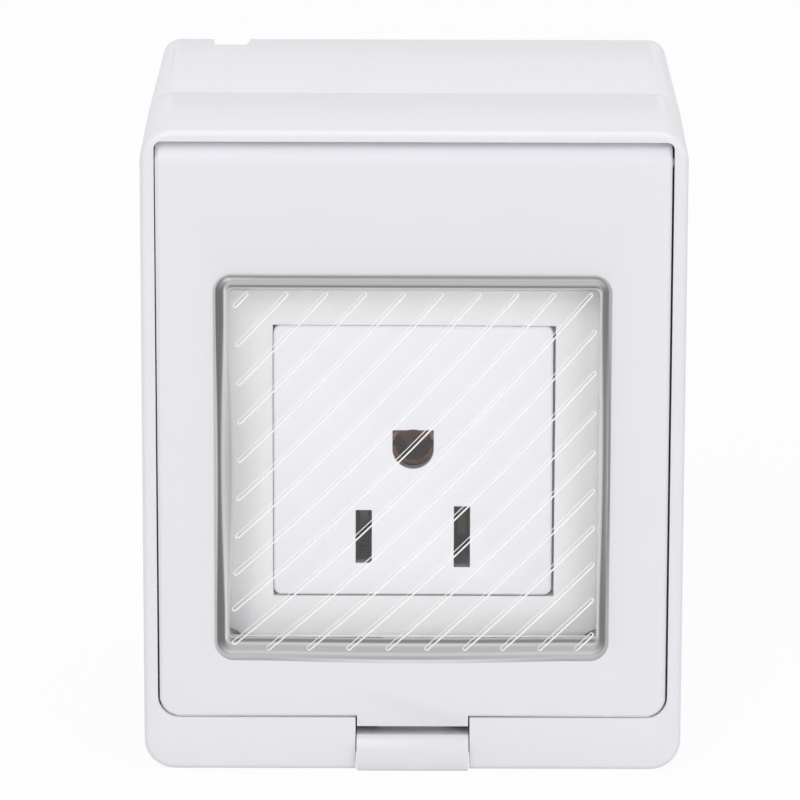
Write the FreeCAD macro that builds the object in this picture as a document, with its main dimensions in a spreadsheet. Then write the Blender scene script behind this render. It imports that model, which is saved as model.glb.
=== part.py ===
import FreeCAD, Part
import math
import os
import re
import Sketcher

# Outdoor power outlet: a wall box with a hinged, windowed lid, a pull-down latch and a socket insert.
# X runs to the right, Z up, and the wall face is Y = 0. A depth is a distance from the wall towards
# the front, so the front lies at Y = -depth. A height is counted from the middle of the box.

doc = FreeCAD.newDocument("OutdoorOutlet")
sheet = doc.addObject("Spreadsheet::Sheet", "Sizes")

# every driving dimension, in millimetres or degrees
sizes = {
    "opening_left_gap": 0.12,
    "opening_right_gap": 0.32,
    "opening_top_gap": 0.12,
    "opening_low_gap": 0.25,
    "insert_stretch": 0.4,
    "insert_shift": 0.05,
    "insert_drop": 0.12,
    "insert_proud": 0.4,
    "insert_corner": 1.0,
    "insert_chamfer": 0.25,
    "window_reveal": 5.55,
    "window_corner": 1.6,
    "clamp_over": 2.0,
    "seal_room_side": 1.3,
    "seal_room_top": 5.95,
    "seal_room_low": 2.15,
    "rib_wall": 0.8,
    "gasket_width": 2.0,
    "gasket_inset": 0.8,
    "gasket_play": 0.05,
    "gasket_corner": 0.4,
    "plateau_side_gap": 2.6,
    "plateau_top_gap": 8.35,
    "plateau_low_gap": 2.8,
    "plateau_corner": 2.0,
    "plateau_wall": 1.8,
    "plateau_drop": 3.9,
    "panel_thick": 1.8,
    "rim_side": 1.8,
    "rim_top": 1.35,
    "rim_bottom": 7.2,
    "rim_corner": 4.0,
    "rim_round": 0.8,
    "recess_depth": 8.4,
    "recess_corner_top": 1.0,
    "recess_corner_low": 2.8,
    "floor_thick": 1.6,
    "back_depth": 32.0,
    "front_depth": 20.0,
    "front_draft": 0.35,
    "back_draft": 1.3,
    "shell_wall": 2.6,
    "band_wall": 1.6,
    "overlap": 0.3,
    "seat_gap": 0.1,
    "back_wall": 2.5,
    "side_wall": 2.1,
    "cavity_corner": 2.0,
    "seal_width": 1.4,
    "seal_height": 1.2,
    "seal_inset": 1.1,
    "screw_inset_side": 6.2,
    "screw_inset_top": 6.0,
    "screw_inset_low": 5.7,
    "screw_radius": 1.5,
    "screw_head_radius": 2.4,
    "screw_head_height": 1.5,
    "screw_reach": 14.0,
    "screw_hole_slack": 0.15,
    "boss_wall": 1.9,
    "wall_hole_inset": 12.05,
    "wall_hole_rise": 5.25,
    "wall_hole_radius": 2.2,
    "wall_pad_radius": 4.3,
    "wall_pad_height": 1.0,
    "knockout_radius": 9.0,
    "knockout_width": 0.8,
    "knockout_cut": 1.2,
    "knockout_drop": 14.0,
    "notch_inset": 8.4,
    "notch_wide": 4.1,
    "notch_slant": 0.5,
    "notch_depth": 3.4,
    "entry_radius": 9.0,
    "grommet_flange": 2.0,
    "grommet_flange_thick": 0.6,
    "grommet_lip": 1.2,
    "grommet_lip_thick": 1.0,
    "cable_radius": 4.0,
    "grommet_collar": 1.4,
    "grommet_collar_height": 3.0,
    "lid_gap": 0.3,
    "lid_gap_low": 0.15,
    "lid_wall": 2.0,
    "lid_skirt_wall": 1.8,
    "lid_skirt_depth": 6.8,
    "lid_round": 3.0,
    "lid_edge_round": 0.5,
    "lid_corner_low": 2.5,
    "tab_width": 14.4,
    "tab_drop": 1.4,
    "tooth_width": 9.0,
    "tooth_drop": 1.9,
    "tooth_thick": 1.4,
    "tooth_inset": 0.2,
    "hinge_pin_radius": 0.9,
    "hinge_pin_entry": 1.05,
    "hinge_boss_length": 1.5,
    "hinge_boss_radius": 2.0,
    "running_gap": 0.05,
    "lip_over": 2.2,
    "lip_corner": 2.6,
    "lip_height": 0.7,
    "lip_chamfer": 0.4,
    "lip_width": 1.65,
    "pane_sink": 0.35,
    "pane_thick": 1.0,
    "neck_wall": 0.9,
    "neck_corner": 0.6,
    "flange_over": 1.3,
    "flange_thick": 0.6,
    "ridge_width": 0.55,
    "ridge_height": 0.25,
    "ridge_pitch": 5.13,
    "ridge_slope": 46.5,
    "ridge_shift": 3.1,
    "ridge_margin": 0.3,
    "clamp_thick": 0.9,
    "latch_gap": 0.2,
    "latch_roll_height": 4.7,
    "latch_roll_proud": 0.8,
    "latch_roll_radius": 3.4,
    "latch_roll_thick": 4.6,
    "latch_roll_brow": 1.3,
    "latch_roll_nose": 0.06,
    "latch_roll_belly": 2.2,
    "latch_roll_chin": 0.45,
    "latch_roll_corner": 1.2,
    "latch_lift": 0.05,
    "latch_pin_radius": 0.8,
    "latch_pin_inset": 10.5,
    "latch_pin_up": 3.4,
    "latch_hub_radius": 1.6,
    "latch_arm_thick": 1.8,
    "latch_arm_lift": 0.1,
    "latch_hook_gap": 0.3,
    "latch_hook_thick": 1.4,
    "latch_hook_grip": 0.6,
    "pocket_slack": 0.7,
    "pocket_wall": 1.5,
    "cheek_wall": 2.0,
    "notch_reach": 6.5,
    "spring_room": 2.2,
    "spring_slack": 0.25,
    "spring_wire": 0.25,
    "spring_radius": 1.25,
    "spring_pitch": 0.75,
    "spring_turns": 4.0,
    "spring_leg": 3.4,
    "blade_spacing": 12.7,
    "blade_drop": 10.3,
    "slot_width": 2.1,
    "short_slot": 7.2,
    "long_slot": 8.3,
    "ground_rise": 1.6,
    "ground_width": 5.3,
    "ground_height": 5.2,
    "face_thick": 1.5,
    "flange_over_insert": 1.9,
    "flange_depth": 3.1,
    "skirt_step": 0.95,
    "base_wall": 2.5,
    "skirt_wall": 1.6,
    "skirt_depth": 7.0,
    "base_depth": 14.0,
    "spigot_depth": 1.5,
    "spigot_gap": 0.1,
    "leaf_thick": 0.7,
    "leaf_gap": 1.1,
    "leaf_tall": 6.0,
    "leaf_flare": 0.45,
    "leaf_flare_length": 1.2,
    "foot_over": 0.5,
    "leaf_clearance": 1.4,
    "foot_thick": 0.8,
    "tail_thick": 0.8,
    "tail_tall": 3.0,
    "tail_gap": 0.2,
    "sleeve_radius": 2.9,
    "sleeve_wall": 0.5,
    "slit_width": 0.7,
    "terminal_wide": 7.0,
    "terminal_tall": 8.0,
    "terminal_deep": 7.4,
    "terminal_gap": 0.2,
    "terminal_sink": 0.6,
    "wire_radius": 1.7,
    "wire_cover": 0.8,
    "clamp_screw_radius": 1.5,
    "clamp_screw_head": 2.4,
    "clamp_screw_height": 1.3,
    "clamp_screw_reach": 3.0,
    "bracket_edge": 3.4,
    "bracket_over": 1.0,
    "bracket_corner": 2.0,
    "bracket_thick": 1.2,
    "bracket_gap": 0.2,
    "bracket_boss_gap": 1.15,
    "bracket_boss_radius": 2.6,
    "bracket_screw_radius": 1.25,
    "bracket_screw_head": 2.3,
    "bracket_screw_height": 1.4,
    "cross_width": 0.7,
    "cross_length": 2.8,
    "cross_depth": 0.9,
}
for row, (alias, size) in enumerate(sizes.items(), start=1):
    sheet.set(f"A{row}", alias)
    sheet.set(f"B{row}", str(size))
    sheet.setAlias(f"B{row}", alias)
doc.recompute()


def bound(text):
    """The expression with each size's name made a reference to its cell."""
    return re.sub(r"[a-z]\w*", lambda word: ("Sizes." if word[0] in sizes else "") + word[0], text)


def number(text):
    return float(sheet.evalExpression(bound(text)))


def bind(thing, setting, text):
    thing.setExpression(setting, bound(text))


# places shared by several pieces, as expressions of the sizes
box_depth = "(back_depth + front_depth)"
skirt_side = "(2 * (blade_drop + terminal_tall / 2 + terminal_gap + base_wall))"
insert_wide = f"({skirt_side} + 2 * skirt_step)"
insert_tall = f"({insert_wide} + insert_stretch)"
flange_side = f"({insert_tall} + 2 * flange_over_insert)"
window_side = f"({insert_wide} + 2 * window_reveal)"
clamp_side = f"({window_side} + 2 * clamp_over)"
lip_side = f"({window_side} + 2 * lip_over)"
seal_reach = f"({clamp_side} / 2 + rib_wall + gasket_width + gasket_inset)"
plateau_x = f"({seal_reach} + seal_room_side)"
recess_x = f"({plateau_x} + plateau_side_gap)"
half_width = f"({recess_x} + rim_side)"
reach_up = f"({seal_reach} + seal_room_top + plateau_top_gap + rim_top)"
reach_down = f"({seal_reach} + seal_room_low + plateau_low_gap + rim_bottom)"
half_height = f"(({reach_up} + {reach_down}) / 2)"
window_mid = f"(({reach_down} - {reach_up}) / 2)"
recess_top = f"({half_height} - rim_top)"
recess_low = f"(rim_bottom - {half_height})"
recess_floor = f"({box_depth} - recess_depth)"
floor_back = f"({recess_floor} - floor_thick)"
plateau_face = f"({box_depth} - plateau_drop)"
panel_back = f"({plateau_face} - panel_thick)"
plateau_top = f"({recess_top} - plateau_top_gap)"
plateau_low = f"({recess_low} + plateau_low_gap)"
lid_x = f"({recess_x} - lid_gap)"
lid_top = f"({recess_top} - lid_gap)"
lid_low = f"({recess_low} + lid_gap_low)"
lid_back = f"({box_depth} - lid_skirt_depth)"
lid_inner = f"({box_depth} - lid_wall)"
hinge_depth = f"({box_depth} - lid_round)"
hinge_height = f"({lid_top} - lid_round)"
screw_seat = f"({plateau_face} - screw_head_height - seat_gap)"
screw_tip = "(back_depth - screw_reach)"
screw_across = f"({plateau_x} - screw_inset_side)"
screw_top = f"({plateau_top} - screw_inset_top)"
screw_low = f"({plateau_low} + screw_inset_low)"
boss_radius = "(screw_radius + boss_wall)"
pin_depth = f"({box_depth} - latch_pin_inset)"
pin_height = f"(latch_pin_up - {half_height})"
pocket_x = "(tab_width / 2 + latch_gap)"
pocket_back = f"({pin_depth} - latch_hub_radius - pocket_slack)"
floor_top = f"(band_wall - {half_height})"
tooth_back = f"({lid_back} + tooth_inset)"
tooth_front = f"({tooth_back} + tooth_thick)"
tooth_low = f"({lid_low} - tooth_drop)"
hook_back = f"({tooth_front} + latch_hook_gap)"
hook_front = f"({hook_back} + latch_hook_thick)"
hook_top = f"({tooth_low} + latch_hook_grip)"
insert_x = "(-insert_shift)"
insert_mid = f"({window_mid} - insert_drop)"
insert_face = f"({plateau_face} + insert_proud)"
flange_front = f"({panel_back} - seat_gap)"
flange_back = f"({flange_front} - flange_depth)"
skirt_back = f"({flange_back} - skirt_depth)"
base_back = f"({skirt_back} - base_depth)"
spigot_front = f"({skirt_back} + spigot_depth)"
blade_height = f"({window_mid} - blade_drop)"
ground_height_mid = f"({window_mid} + ground_rise)"
foot_front = f"({spigot_front} + foot_thick)"
contact_tip = f"({insert_face} - face_thick - leaf_clearance)"
terminal_back = f"({base_back} + terminal_sink)"
terminal_front = f"({terminal_back} + terminal_deep)"
bracket_back = f"({flange_back} - bracket_thick)"
bracket_screw_x = f"({flange_side} / 2 + bracket_boss_gap + bracket_boss_radius)"
gasket_x = f"({plateau_x} - gasket_inset)"
gasket_top = f"({plateau_top} - gasket_inset)"
gasket_low = f"({plateau_low} + gasket_inset)"
seam_half_width = f"({half_width} - front_draft)"
seam_half_height = f"({half_height} - front_draft)"
wall_half_width = f"({seam_half_width} - back_draft)"
wall_half_height = f"({seam_half_height} - back_draft)"
seam_corner = "(rim_corner - front_draft)"
cavity_x = f"({wall_half_width} - side_wall)"
cavity_z = f"({wall_half_height} - side_wall)"
wall_hole_x = f"({cavity_x} - wall_hole_inset)"
wall_hole_z = f"({cavity_z} - wall_hole_rise)"
entry_depth = "(back_depth / 2)"
pane_front = f"({box_depth} + lip_height - pane_sink)"
pane_back = f"({pane_front} - pane_thick)"
flange_inner_back = f"({lid_inner} - flange_thick)"
neck_inside = f"({window_side} - 2 * seat_gap - 2 * neck_wall)"
pane_side = f"({lip_side} - 2 * lip_width)"
screw_places = [(side + screw_across, z) for side in ("-", "") for z in (screw_low, screw_top)]
wall_hole_places = [(side + wall_hole_x, rise + wall_hole_z) for side in ("-", "") for rise in ("-", "")]


def new_body(name):
    body = doc.addObject("PartDesign::Body", name)
    body.Label = name
    return body


def origin_plane(body, role):
    return next(item for item in body.Origin.OriginFeatures if item.Role == role)


def sketch_on(body, role, offset="0"):
    """An empty sketch on one of the body's own origin planes, moved along the plane's normal."""
    sketch = body.newObject("Sketcher::SketchObject", f"{body.Name}_outline")
    sketch.AttachmentSupport = (origin_plane(body, role), [""])
    sketch.MapMode = "FlatFace"
    bind(sketch, "AttachmentOffset.Base.z", offset)
    return sketch


def front_sketch(body, depth):
    """A sketch seen from the front, X to the right and Z up, at a depth from the wall."""
    return sketch_on(body, "XZ_Plane", depth)


def dimension(sketch, kind, references, text):
    index = sketch.addConstraint(Sketcher.Constraint(kind, *references, number(text)))
    sketch.setExpression(f"Constraints[{index}]", bound(text))


def add_outline(sketch, corners, arcs=None):
    """A closed outline through the corners. arcs gives a radius for each side that bulges outwards."""
    arcs = arcs or {}
    first = sketch.GeometryCount
    places = [FreeCAD.Vector(number(x), number(y), 0) for x, y in corners]
    count = len(places)
    for index, start in enumerate(places):
        end = places[(index + 1) % count]
        if index in arcs:
            radius = number(arcs[index])
            chord = end - start
            rise = math.sqrt(radius**2 - chord.Length**2 / 4)
            middle = (start + end) / 2 + FreeCAD.Vector(-chord.y, chord.x, 0) * (rise / chord.Length)
            circle = Part.Circle(middle, FreeCAD.Vector(0, 0, 1), radius)
            turn_from = math.atan2(start.y - middle.y, start.x - middle.x)
            turn_to = math.atan2(end.y - middle.y, end.x - middle.x)
            sketch.addGeometry(Part.ArcOfCircle(circle, turn_from, turn_to))
        else:
            sketch.addGeometry(Part.LineSegment(start, end))
    for index, (x, y) in enumerate(corners):
        here = first + index
        following = first + (index + 1) % count
        sketch.addConstraint(Sketcher.Constraint("Coincident", here, 2, following, 1))
        dimension(sketch, "DistanceX", (-1, 1, here, 1), x)
        dimension(sketch, "DistanceY", (-1, 1, here, 1), y)
        if index in arcs:
            dimension(sketch, "Radius", (here,), arcs[index])


def add_rectangle(sketch, left, right, low, top):
    add_outline(sketch, [(left, low), (right, low), (right, top), (left, top)])


def add_circle(sketch, x, y, radius):
    circle = Part.Circle(FreeCAD.Vector(number(x), number(y), 0), FreeCAD.Vector(0, 0, 1), number(radius))
    index = sketch.addGeometry(circle)
    dimension(sketch, "DistanceX", (-1, 1, index, 3), x)
    dimension(sketch, "DistanceY", (-1, 1, index, 3), y)
    dimension(sketch, "Radius", (index,), radius)


def add_rounded(sketch, left, right, low, top, corner_low, corner_top=None):
    """A rectangle with rounded corners: one radius for the lower two, one for the upper two."""
    corner_top = corner_top or corner_low
    first = sketch.GeometryCount
    x0, x1, y0, y1 = (number(text) for text in (left, right, low, top))
    r0, r1 = number(corner_low), number(corner_top)
    up = FreeCAD.Vector(0, 0, 1)
    stations = [
        ((x0 + r0, y0), (x1 - r0, y0), (x1 - r0, y0 + r0), r0, -90),
        ((x1, y0 + r0), (x1, y1 - r1), (x1 - r1, y1 - r1), r1, 0),
        ((x1 - r1, y1), (x0 + r1, y1), (x0 + r1, y1 - r1), r1, 90),
        ((x0, y1 - r1), (x0, y0 + r0), (x0 + r0, y0 + r0), r0, 180),
    ]
    for start, end, middle, radius, turn in stations:
        sketch.addGeometry(Part.LineSegment(FreeCAD.Vector(*start, 0), FreeCAD.Vector(*end, 0)))
        circle = Part.Circle(FreeCAD.Vector(*middle, 0), up, radius)
        sketch.addGeometry(Part.ArcOfCircle(circle, math.radians(turn), math.radians(turn + 90)))
    for index in range(8):
        here = first + index
        following = first + (index + 1) % 8
        sketch.addConstraint(Sketcher.Constraint("Tangent", here, 2, following, 1))
    sketch.addConstraint(Sketcher.Constraint("Horizontal", first))
    sketch.addConstraint(Sketcher.Constraint("Vertical", first + 2))
    sketch.addConstraint(Sketcher.Constraint("Horizontal", first + 4))
    sketch.addConstraint(Sketcher.Constraint("Vertical", first + 6))
    sketch.addConstraint(Sketcher.Constraint("Equal", first + 1, first + 7))
    sketch.addConstraint(Sketcher.Constraint("Equal", first + 3, first + 5))
    dimension(sketch, "Radius", (first + 1,), corner_low)
    dimension(sketch, "Radius", (first + 3,), corner_top)
    dimension(sketch, "DistanceX", (-1, 1, first + 6, 1), left)
    dimension(sketch, "DistanceX", (-1, 1, first + 2, 1), right)
    dimension(sketch, "DistanceY", (-1, 1, first, 1), low)
    dimension(sketch, "DistanceY", (-1, 1, first + 4, 1), top)


def add_square(sketch, side, corner, x="0", z=window_mid):
    """A square with rounded corners about the middle of the window, or about another place."""
    reach = f"({side}) / 2"
    add_rounded(sketch, f"{x} - {reach}", f"{x} + {reach}", f"{z} - {reach}", f"{z} + {reach}", corner)


def finish(body, feature, change):
    """Recompute, and stop if the feature added or removed nothing."""
    before = feature.BaseFeature.Shape.Volume if feature.BaseFeature else 0.0
    body.Tip = feature
    doc.recompute()
    if (feature.Shape.Volume - before) * change <= 0:
        raise RuntimeError(f"{body.Label}: {feature.Label} changed nothing")
    return feature


def pad(body, sketch, length, both_ways=False, backwards=False, draft=None):
    """A solid drawn out along the sketch's normal. draft is how far its sides lean in by the far end."""
    feature = body.newObject("PartDesign::Pad", f"{body.Name}_pad")
    feature.Profile = sketch
    feature.Midplane = both_ways
    feature.Reversed = backwards
    bind(feature, "Length", length)
    if draft:
        bind(feature, "TaperAngle", f"-atan(({draft}) / ({length}))")
    return finish(body, feature, 1)


def pocket(body, sketch, length, both_ways=False, backwards=False):
    """A cut that runs against the sketch's normal, or along it when backwards."""
    feature = body.newObject("PartDesign::Pocket", f"{body.Name}_pocket")
    feature.Profile = sketch
    feature.Midplane = both_ways
    feature.Reversed = backwards
    bind(feature, "Length", length)
    return finish(body, feature, -1)


def fillet(body, radius, chosen, kind="Fillet", setting="Radius"):
    """Round the edges for which chosen is true of their bounding box."""
    base = body.Tip
    picked = [
        f"Edge{index}"
        for index, edge in enumerate(base.Shape.Edges, start=1)
        if chosen(edge.BoundBox)
    ]
    feature = body.newObject(f"PartDesign::{kind}", f"{body.Name}_{kind.lower()}")
    feature.Base = (base, picked)
    bind(feature, setting, radius)
    return finish(body, feature, -1)


def chamfer(body, size, chosen):
    """Cut the chosen edges back at 45 degrees."""
    return fillet(body, size, chosen, "Chamfer", "Size")


def at(value, text):
    return abs(value - number(text)) < 0.01


def make_back_box():
    body = new_body("back_box")
    seam_end = front_sketch(body, "back_depth")
    add_rounded(
        seam_end,
        f"-{seam_half_width}",
        seam_half_width,
        f"-{seam_half_height}",
        seam_half_height,
        seam_corner,
    )
    pad(body, seam_end, "back_depth", backwards=True, draft="back_draft")
    cavity = front_sketch(body, "back_depth")
    add_rounded(cavity, f"-{cavity_x}", cavity_x, f"-{cavity_z}", cavity_z, "cavity_corner")
    pocket(body, cavity, "back_depth - back_wall")
    groove = front_sketch(body, "back_depth")
    add_seal_ring(groove)
    pocket(body, groove, "seal_height")
    bosses = front_sketch(body, "back_wall - overlap")
    for x, z in screw_places:
        add_circle(bosses, x, z, boss_radius)
    pad(body, bosses, "back_depth - back_wall + overlap")
    holes = front_sketch(body, "back_depth")
    for x, z in screw_places:
        add_circle(holes, x, z, "screw_radius")
    pocket(body, holes, "screw_reach")
    pads = front_sketch(body, "back_wall - overlap")
    for x, z in wall_hole_places:
        add_circle(pads, x, z, "wall_pad_radius")
    pad(body, pads, "wall_pad_height + overlap")
    wall_holes = front_sketch(body, "back_wall + wall_pad_height")
    for x, z in wall_hole_places:
        add_circle(wall_holes, x, z, "wall_hole_radius")
    pocket(body, wall_holes, "back_wall + wall_pad_height")
    knockout = front_sketch(body, "0")
    add_circle(knockout, "0", "-knockout_drop", "knockout_radius")
    add_circle(knockout, "0", "-knockout_drop", "knockout_radius - knockout_width")
    pocket(body, knockout, "knockout_cut", backwards=True)
    notch = sketch_on(body, "XY_Plane", half_height)
    left = f"notch_inset - {half_width}"
    add_outline(
        notch,
        [
            (left, "overlap"),
            (left, "-notch_depth"),
            (f"{left} + notch_wide", "-notch_depth"),
            (f"{left} + notch_wide + notch_slant", "overlap"),
        ],
    )
    pocket(body, notch, f"{half_height} - {cavity_z} + overlap")
    recess = sketch_on(body, "XY_Plane", f"-{half_height}")
    add_circle(recess, "0", f"-{entry_depth}", "entry_radius + grommet_flange + seat_gap")
    pocket(body, recess, f"{half_height} - {grommet_seat_height()}", backwards=True)
    entry = sketch_on(body, "XY_Plane", f"-{half_height}")
    add_circle(entry, "0", f"-{entry_depth}", "entry_radius")
    pocket(body, entry, f"{half_height} - {cavity_z} + overlap", backwards=True)
    return body


def grommet_seat_height():
    """How far below the middle the outer flange of the grommet bears on the bottom wall."""
    rear_edge = f"({entry_depth} - entry_radius - grommet_flange)"
    outside = f"({wall_half_height} + back_draft * {rear_edge} / back_depth)"
    return f"({outside} - grommet_flange_thick)"


def add_seal_ring(sketch):
    """The ring of the seam's seal, which follows the outline of the seam at its inset."""
    outer_x = f"({seam_half_width} - seal_inset)"
    outer_z = f"({seam_half_height} - seal_inset)"
    add_rounded(
        sketch, f"-{outer_x}", outer_x, f"-{outer_z}", outer_z, f"{seam_corner} - seal_inset"
    )
    inner_x = f"({outer_x} - seal_width)"
    inner_z = f"({outer_z} - seal_width)"
    add_rounded(
        sketch, f"-{inner_x}", inner_x, f"-{inner_z}", inner_z, f"{seam_corner} - seal_inset - seal_width"
    )


def make_housing_gasket():
    body = new_body("housing_gasket")
    ring = front_sketch(body, "back_depth - seal_height")
    add_seal_ring(ring)
    pad(body, ring, "seal_height")
    return body


def make_front_housing():
    body = new_body("front_housing")
    rim = front_sketch(body, box_depth)
    add_rounded(rim, f"-{half_width}", half_width, f"-{half_height}", half_height, "rim_corner")
    pad(body, rim, "front_depth", backwards=True, draft="front_draft")
    recess = front_sketch(body, box_depth)
    add_rounded(
        recess,
        f"-{recess_x}",
        recess_x,
        recess_low,
        recess_top,
        "recess_corner_low",
        "recess_corner_top",
    )
    pocket(body, recess, "recess_depth")
    plateau = front_sketch(body, recess_floor)
    add_rounded(plateau, f"-{plateau_x}", plateau_x, plateau_low, plateau_top, "plateau_corner")
    pad(body, plateau, "recess_depth - plateau_drop")
    hollow = front_sketch(body, "back_depth")
    hollow_x = f"({seam_half_width} - shell_wall)"
    hollow_z = f"({seam_half_height} - shell_wall)"
    add_rounded(hollow, f"-{hollow_x}", hollow_x, f"-{hollow_z}", hollow_z, "cavity_corner")
    pocket(body, hollow, f"{floor_back} - back_depth", backwards=True)
    behind = front_sketch(body, floor_back)
    behind_x = f"({plateau_x} - plateau_wall)"
    add_rounded(
        behind,
        f"-{behind_x}",
        behind_x,
        f"{plateau_low} + plateau_wall",
        f"{plateau_top} - plateau_wall",
        "cavity_corner",
    )
    pocket(body, behind, f"{panel_back} - {floor_back}", backwards=True)
    opening = front_sketch(body, plateau_face)
    add_rectangle(
        opening,
        f"{insert_x} - {insert_wide} / 2 - opening_left_gap",
        f"{insert_x} + {insert_wide} / 2 + opening_right_gap",
        f"{insert_mid} - {insert_tall} / 2 - opening_low_gap",
        f"{insert_mid} + {insert_tall} / 2 + opening_top_gap",
    )
    pocket(body, opening, "panel_thick")
    make_band_hollows(body, hollow_x)
    make_screw_places(body)
    make_latch_pocket(body)
    axle_hole = sketch_on(body, "YZ_Plane")
    add_circle(axle_hole, f"-{hinge_depth}", hinge_height, "hinge_pin_radius + running_gap")
    pocket(body, axle_hole, f"2 * ({recess_x} + hinge_pin_entry + running_gap)", both_ways=True)
    fillet(body, "rim_round", is_outer_rim_edge)
    return body


def is_outer_rim_edge(box):
    in_front = at(-box.YMin, box_depth) and at(-box.YMax, box_depth)
    corner = number("rim_corner") + 0.01
    beside = max(abs(box.XMin), abs(box.XMax)) > number(half_width) - 0.01
    above = max(abs(box.ZMin), abs(box.ZMax)) > number(half_height) - 0.01
    small = box.XLength < corner and box.ZLength < corner
    return in_front and ((beside and box.XLength < 0.01) or (above and box.ZLength < 0.01) or
                         (small and beside and above))


def make_band_hollows(body, outer_x):
    """The wide lower band of the rim is cored out from behind, on both sides of the latch."""
    band = front_sketch(body, floor_back)
    cheek = f"({pocket_x} + cheek_wall)"
    low = floor_top
    high = f"{recess_low} - band_wall"
    add_rectangle(band, cheek, outer_x, low, high)
    add_rectangle(band, f"-{outer_x}", f"-{cheek}", low, high)
    pocket(body, band, f"{lid_inner} - {floor_back}", backwards=True)


def make_screw_places(body):
    """Four bosses down to the seam with sunk seats in front, and two short bosses for the bracket."""
    bosses = front_sketch(body, "back_depth")
    for x, z in screw_places:
        add_circle(bosses, x, z, boss_radius)
    pad(body, bosses, f"{plateau_face} - back_depth")
    seats = front_sketch(body, plateau_face)
    for x, z in screw_places:
        add_circle(seats, x, z, "screw_head_radius + screw_hole_slack")
    pocket(body, seats, f"{plateau_face} - {screw_seat}")
    holes = front_sketch(body, plateau_face)
    for x, z in screw_places:
        add_circle(holes, x, z, "screw_radius + screw_hole_slack")
    pocket(body, holes, f"{plateau_face} - back_depth")
    short = front_sketch(body, flange_back)
    for side in ("-", ""):
        add_circle(short, side + bracket_screw_x, window_mid, "bracket_boss_radius")
    pad(body, short, f"{panel_back} - {flange_back} + overlap")
    pilots = front_sketch(body, flange_back)
    for side in ("-", ""):
        add_circle(pilots, side + bracket_screw_x, window_mid, "bracket_screw_radius")
    pocket(body, pilots, f"{panel_back} - {flange_back}", backwards=True)


def make_latch_pocket(body):
    """A pocket behind the lid's tab, open to the front and below, with cheeks that hold the pin."""
    block = front_sketch(body, f"{pocket_back} - pocket_wall")
    cheek = f"({pocket_x} + cheek_wall)"
    add_rectangle(
        block, f"-{cheek}", cheek, f"{floor_top} - overlap", f"{recess_low} + pocket_wall"
    )
    pad(body, block, f"{recess_floor} - {pocket_back} + pocket_wall")
    inside = front_sketch(body, box_depth)
    add_rectangle(inside, f"-{pocket_x}", pocket_x, floor_top, recess_low)
    pocket(body, inside, f"{box_depth} - {pocket_back}")
    below = front_sketch(body, box_depth)
    add_rectangle(below, f"-{pocket_x}", pocket_x, f"-{half_height} - overlap", f"{floor_top} + overlap")
    pocket(body, below, "notch_reach")
    pin_hole = sketch_on(body, "YZ_Plane")
    add_circle(pin_hole, f"-{pin_depth}", pin_height, "latch_pin_radius")
    pocket(body, pin_hole, f"2 * {cheek}", both_ways=True)


def make_lid():
    body = new_body("lid")
    side = sketch_on(body, "YZ_Plane")
    add_outline(
        side,
        [
            (f"-{box_depth}", lid_low),
            (f"-{lid_back}", lid_low),
            (f"-{lid_back}", lid_top),
            (f"-{hinge_depth}", lid_top),
            (f"-{box_depth}", hinge_height),
        ],
        arcs={3: "lid_round"},
    )
    pad(body, side, f"2 * {lid_x}", both_ways=True)
    fillet(
        body,
        "lid_corner_low",
        lambda box: at(box.ZMin, lid_low) and at(box.ZMax, lid_low) and box.XLength < 0.01,
    )
    fillet(body, "lid_edge_round", is_front_edge_of_lid)
    inside = front_sketch(body, lid_back)
    inner_x = f"({lid_x} - lid_skirt_wall)"
    add_rounded(
        inside,
        f"-{inner_x}",
        inner_x,
        f"{lid_low} + lid_skirt_wall",
        f"{lid_top} - lid_wall",
        "lid_corner_low - lid_skirt_wall",
    )
    pocket(body, inside, f"{lid_inner} - {lid_back}", backwards=True)
    window = front_sketch(body, box_depth)
    add_square(window, window_side, "window_corner")
    pocket(body, window, "lid_wall")
    tab = front_sketch(body, lid_inner)
    tab_top = f"{lid_low} + 2 * lid_edge_round"
    add_rectangle(tab, "-tab_width / 2", "tab_width / 2", f"{lid_low} - tab_drop", tab_top)
    pad(body, tab, "lid_wall")
    tooth = front_sketch(body, tooth_back)
    add_rectangle(tooth, "-tooth_width / 2", "tooth_width / 2", tooth_low, f"{lid_low} + overlap")
    pad(body, tooth, "tooth_thick")
    bosses = sketch_on(body, "YZ_Plane", f"{inner_x} - hinge_boss_length")
    add_circle(bosses, f"-{hinge_depth}", hinge_height, "hinge_boss_radius")
    boss = pad(body, bosses, "hinge_boss_length + overlap")
    mirrored = body.newObject("PartDesign::Mirrored", "lid_mirrored")
    mirrored.Originals = [boss]
    mirrored.MirrorPlane = (origin_plane(body, "YZ_Plane"), [""])
    finish(body, mirrored, 1)
    pin_hole = sketch_on(body, "YZ_Plane")
    add_circle(pin_hole, f"-{hinge_depth}", hinge_height, "hinge_pin_radius")
    pocket(body, pin_hole, f"2 * {lid_x}", both_ways=True)
    ring = front_sketch(body, lid_inner)
    ring_x = f"({gasket_x} - gasket_width)"
    ring_top = f"({gasket_top} - gasket_width)"
    ring_low = f"({gasket_low} + gasket_width)"
    add_rounded(ring, f"-{ring_x}", ring_x, ring_low, ring_top, "rib_wall + gasket_corner")
    add_rounded(
        ring,
        f"rib_wall - {ring_x}",
        f"{ring_x} - rib_wall",
        f"{ring_low} + rib_wall",
        f"{ring_top} - rib_wall",
        "gasket_corner",
    )
    pad(body, ring, "rib_wall", backwards=True)
    return body


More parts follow.
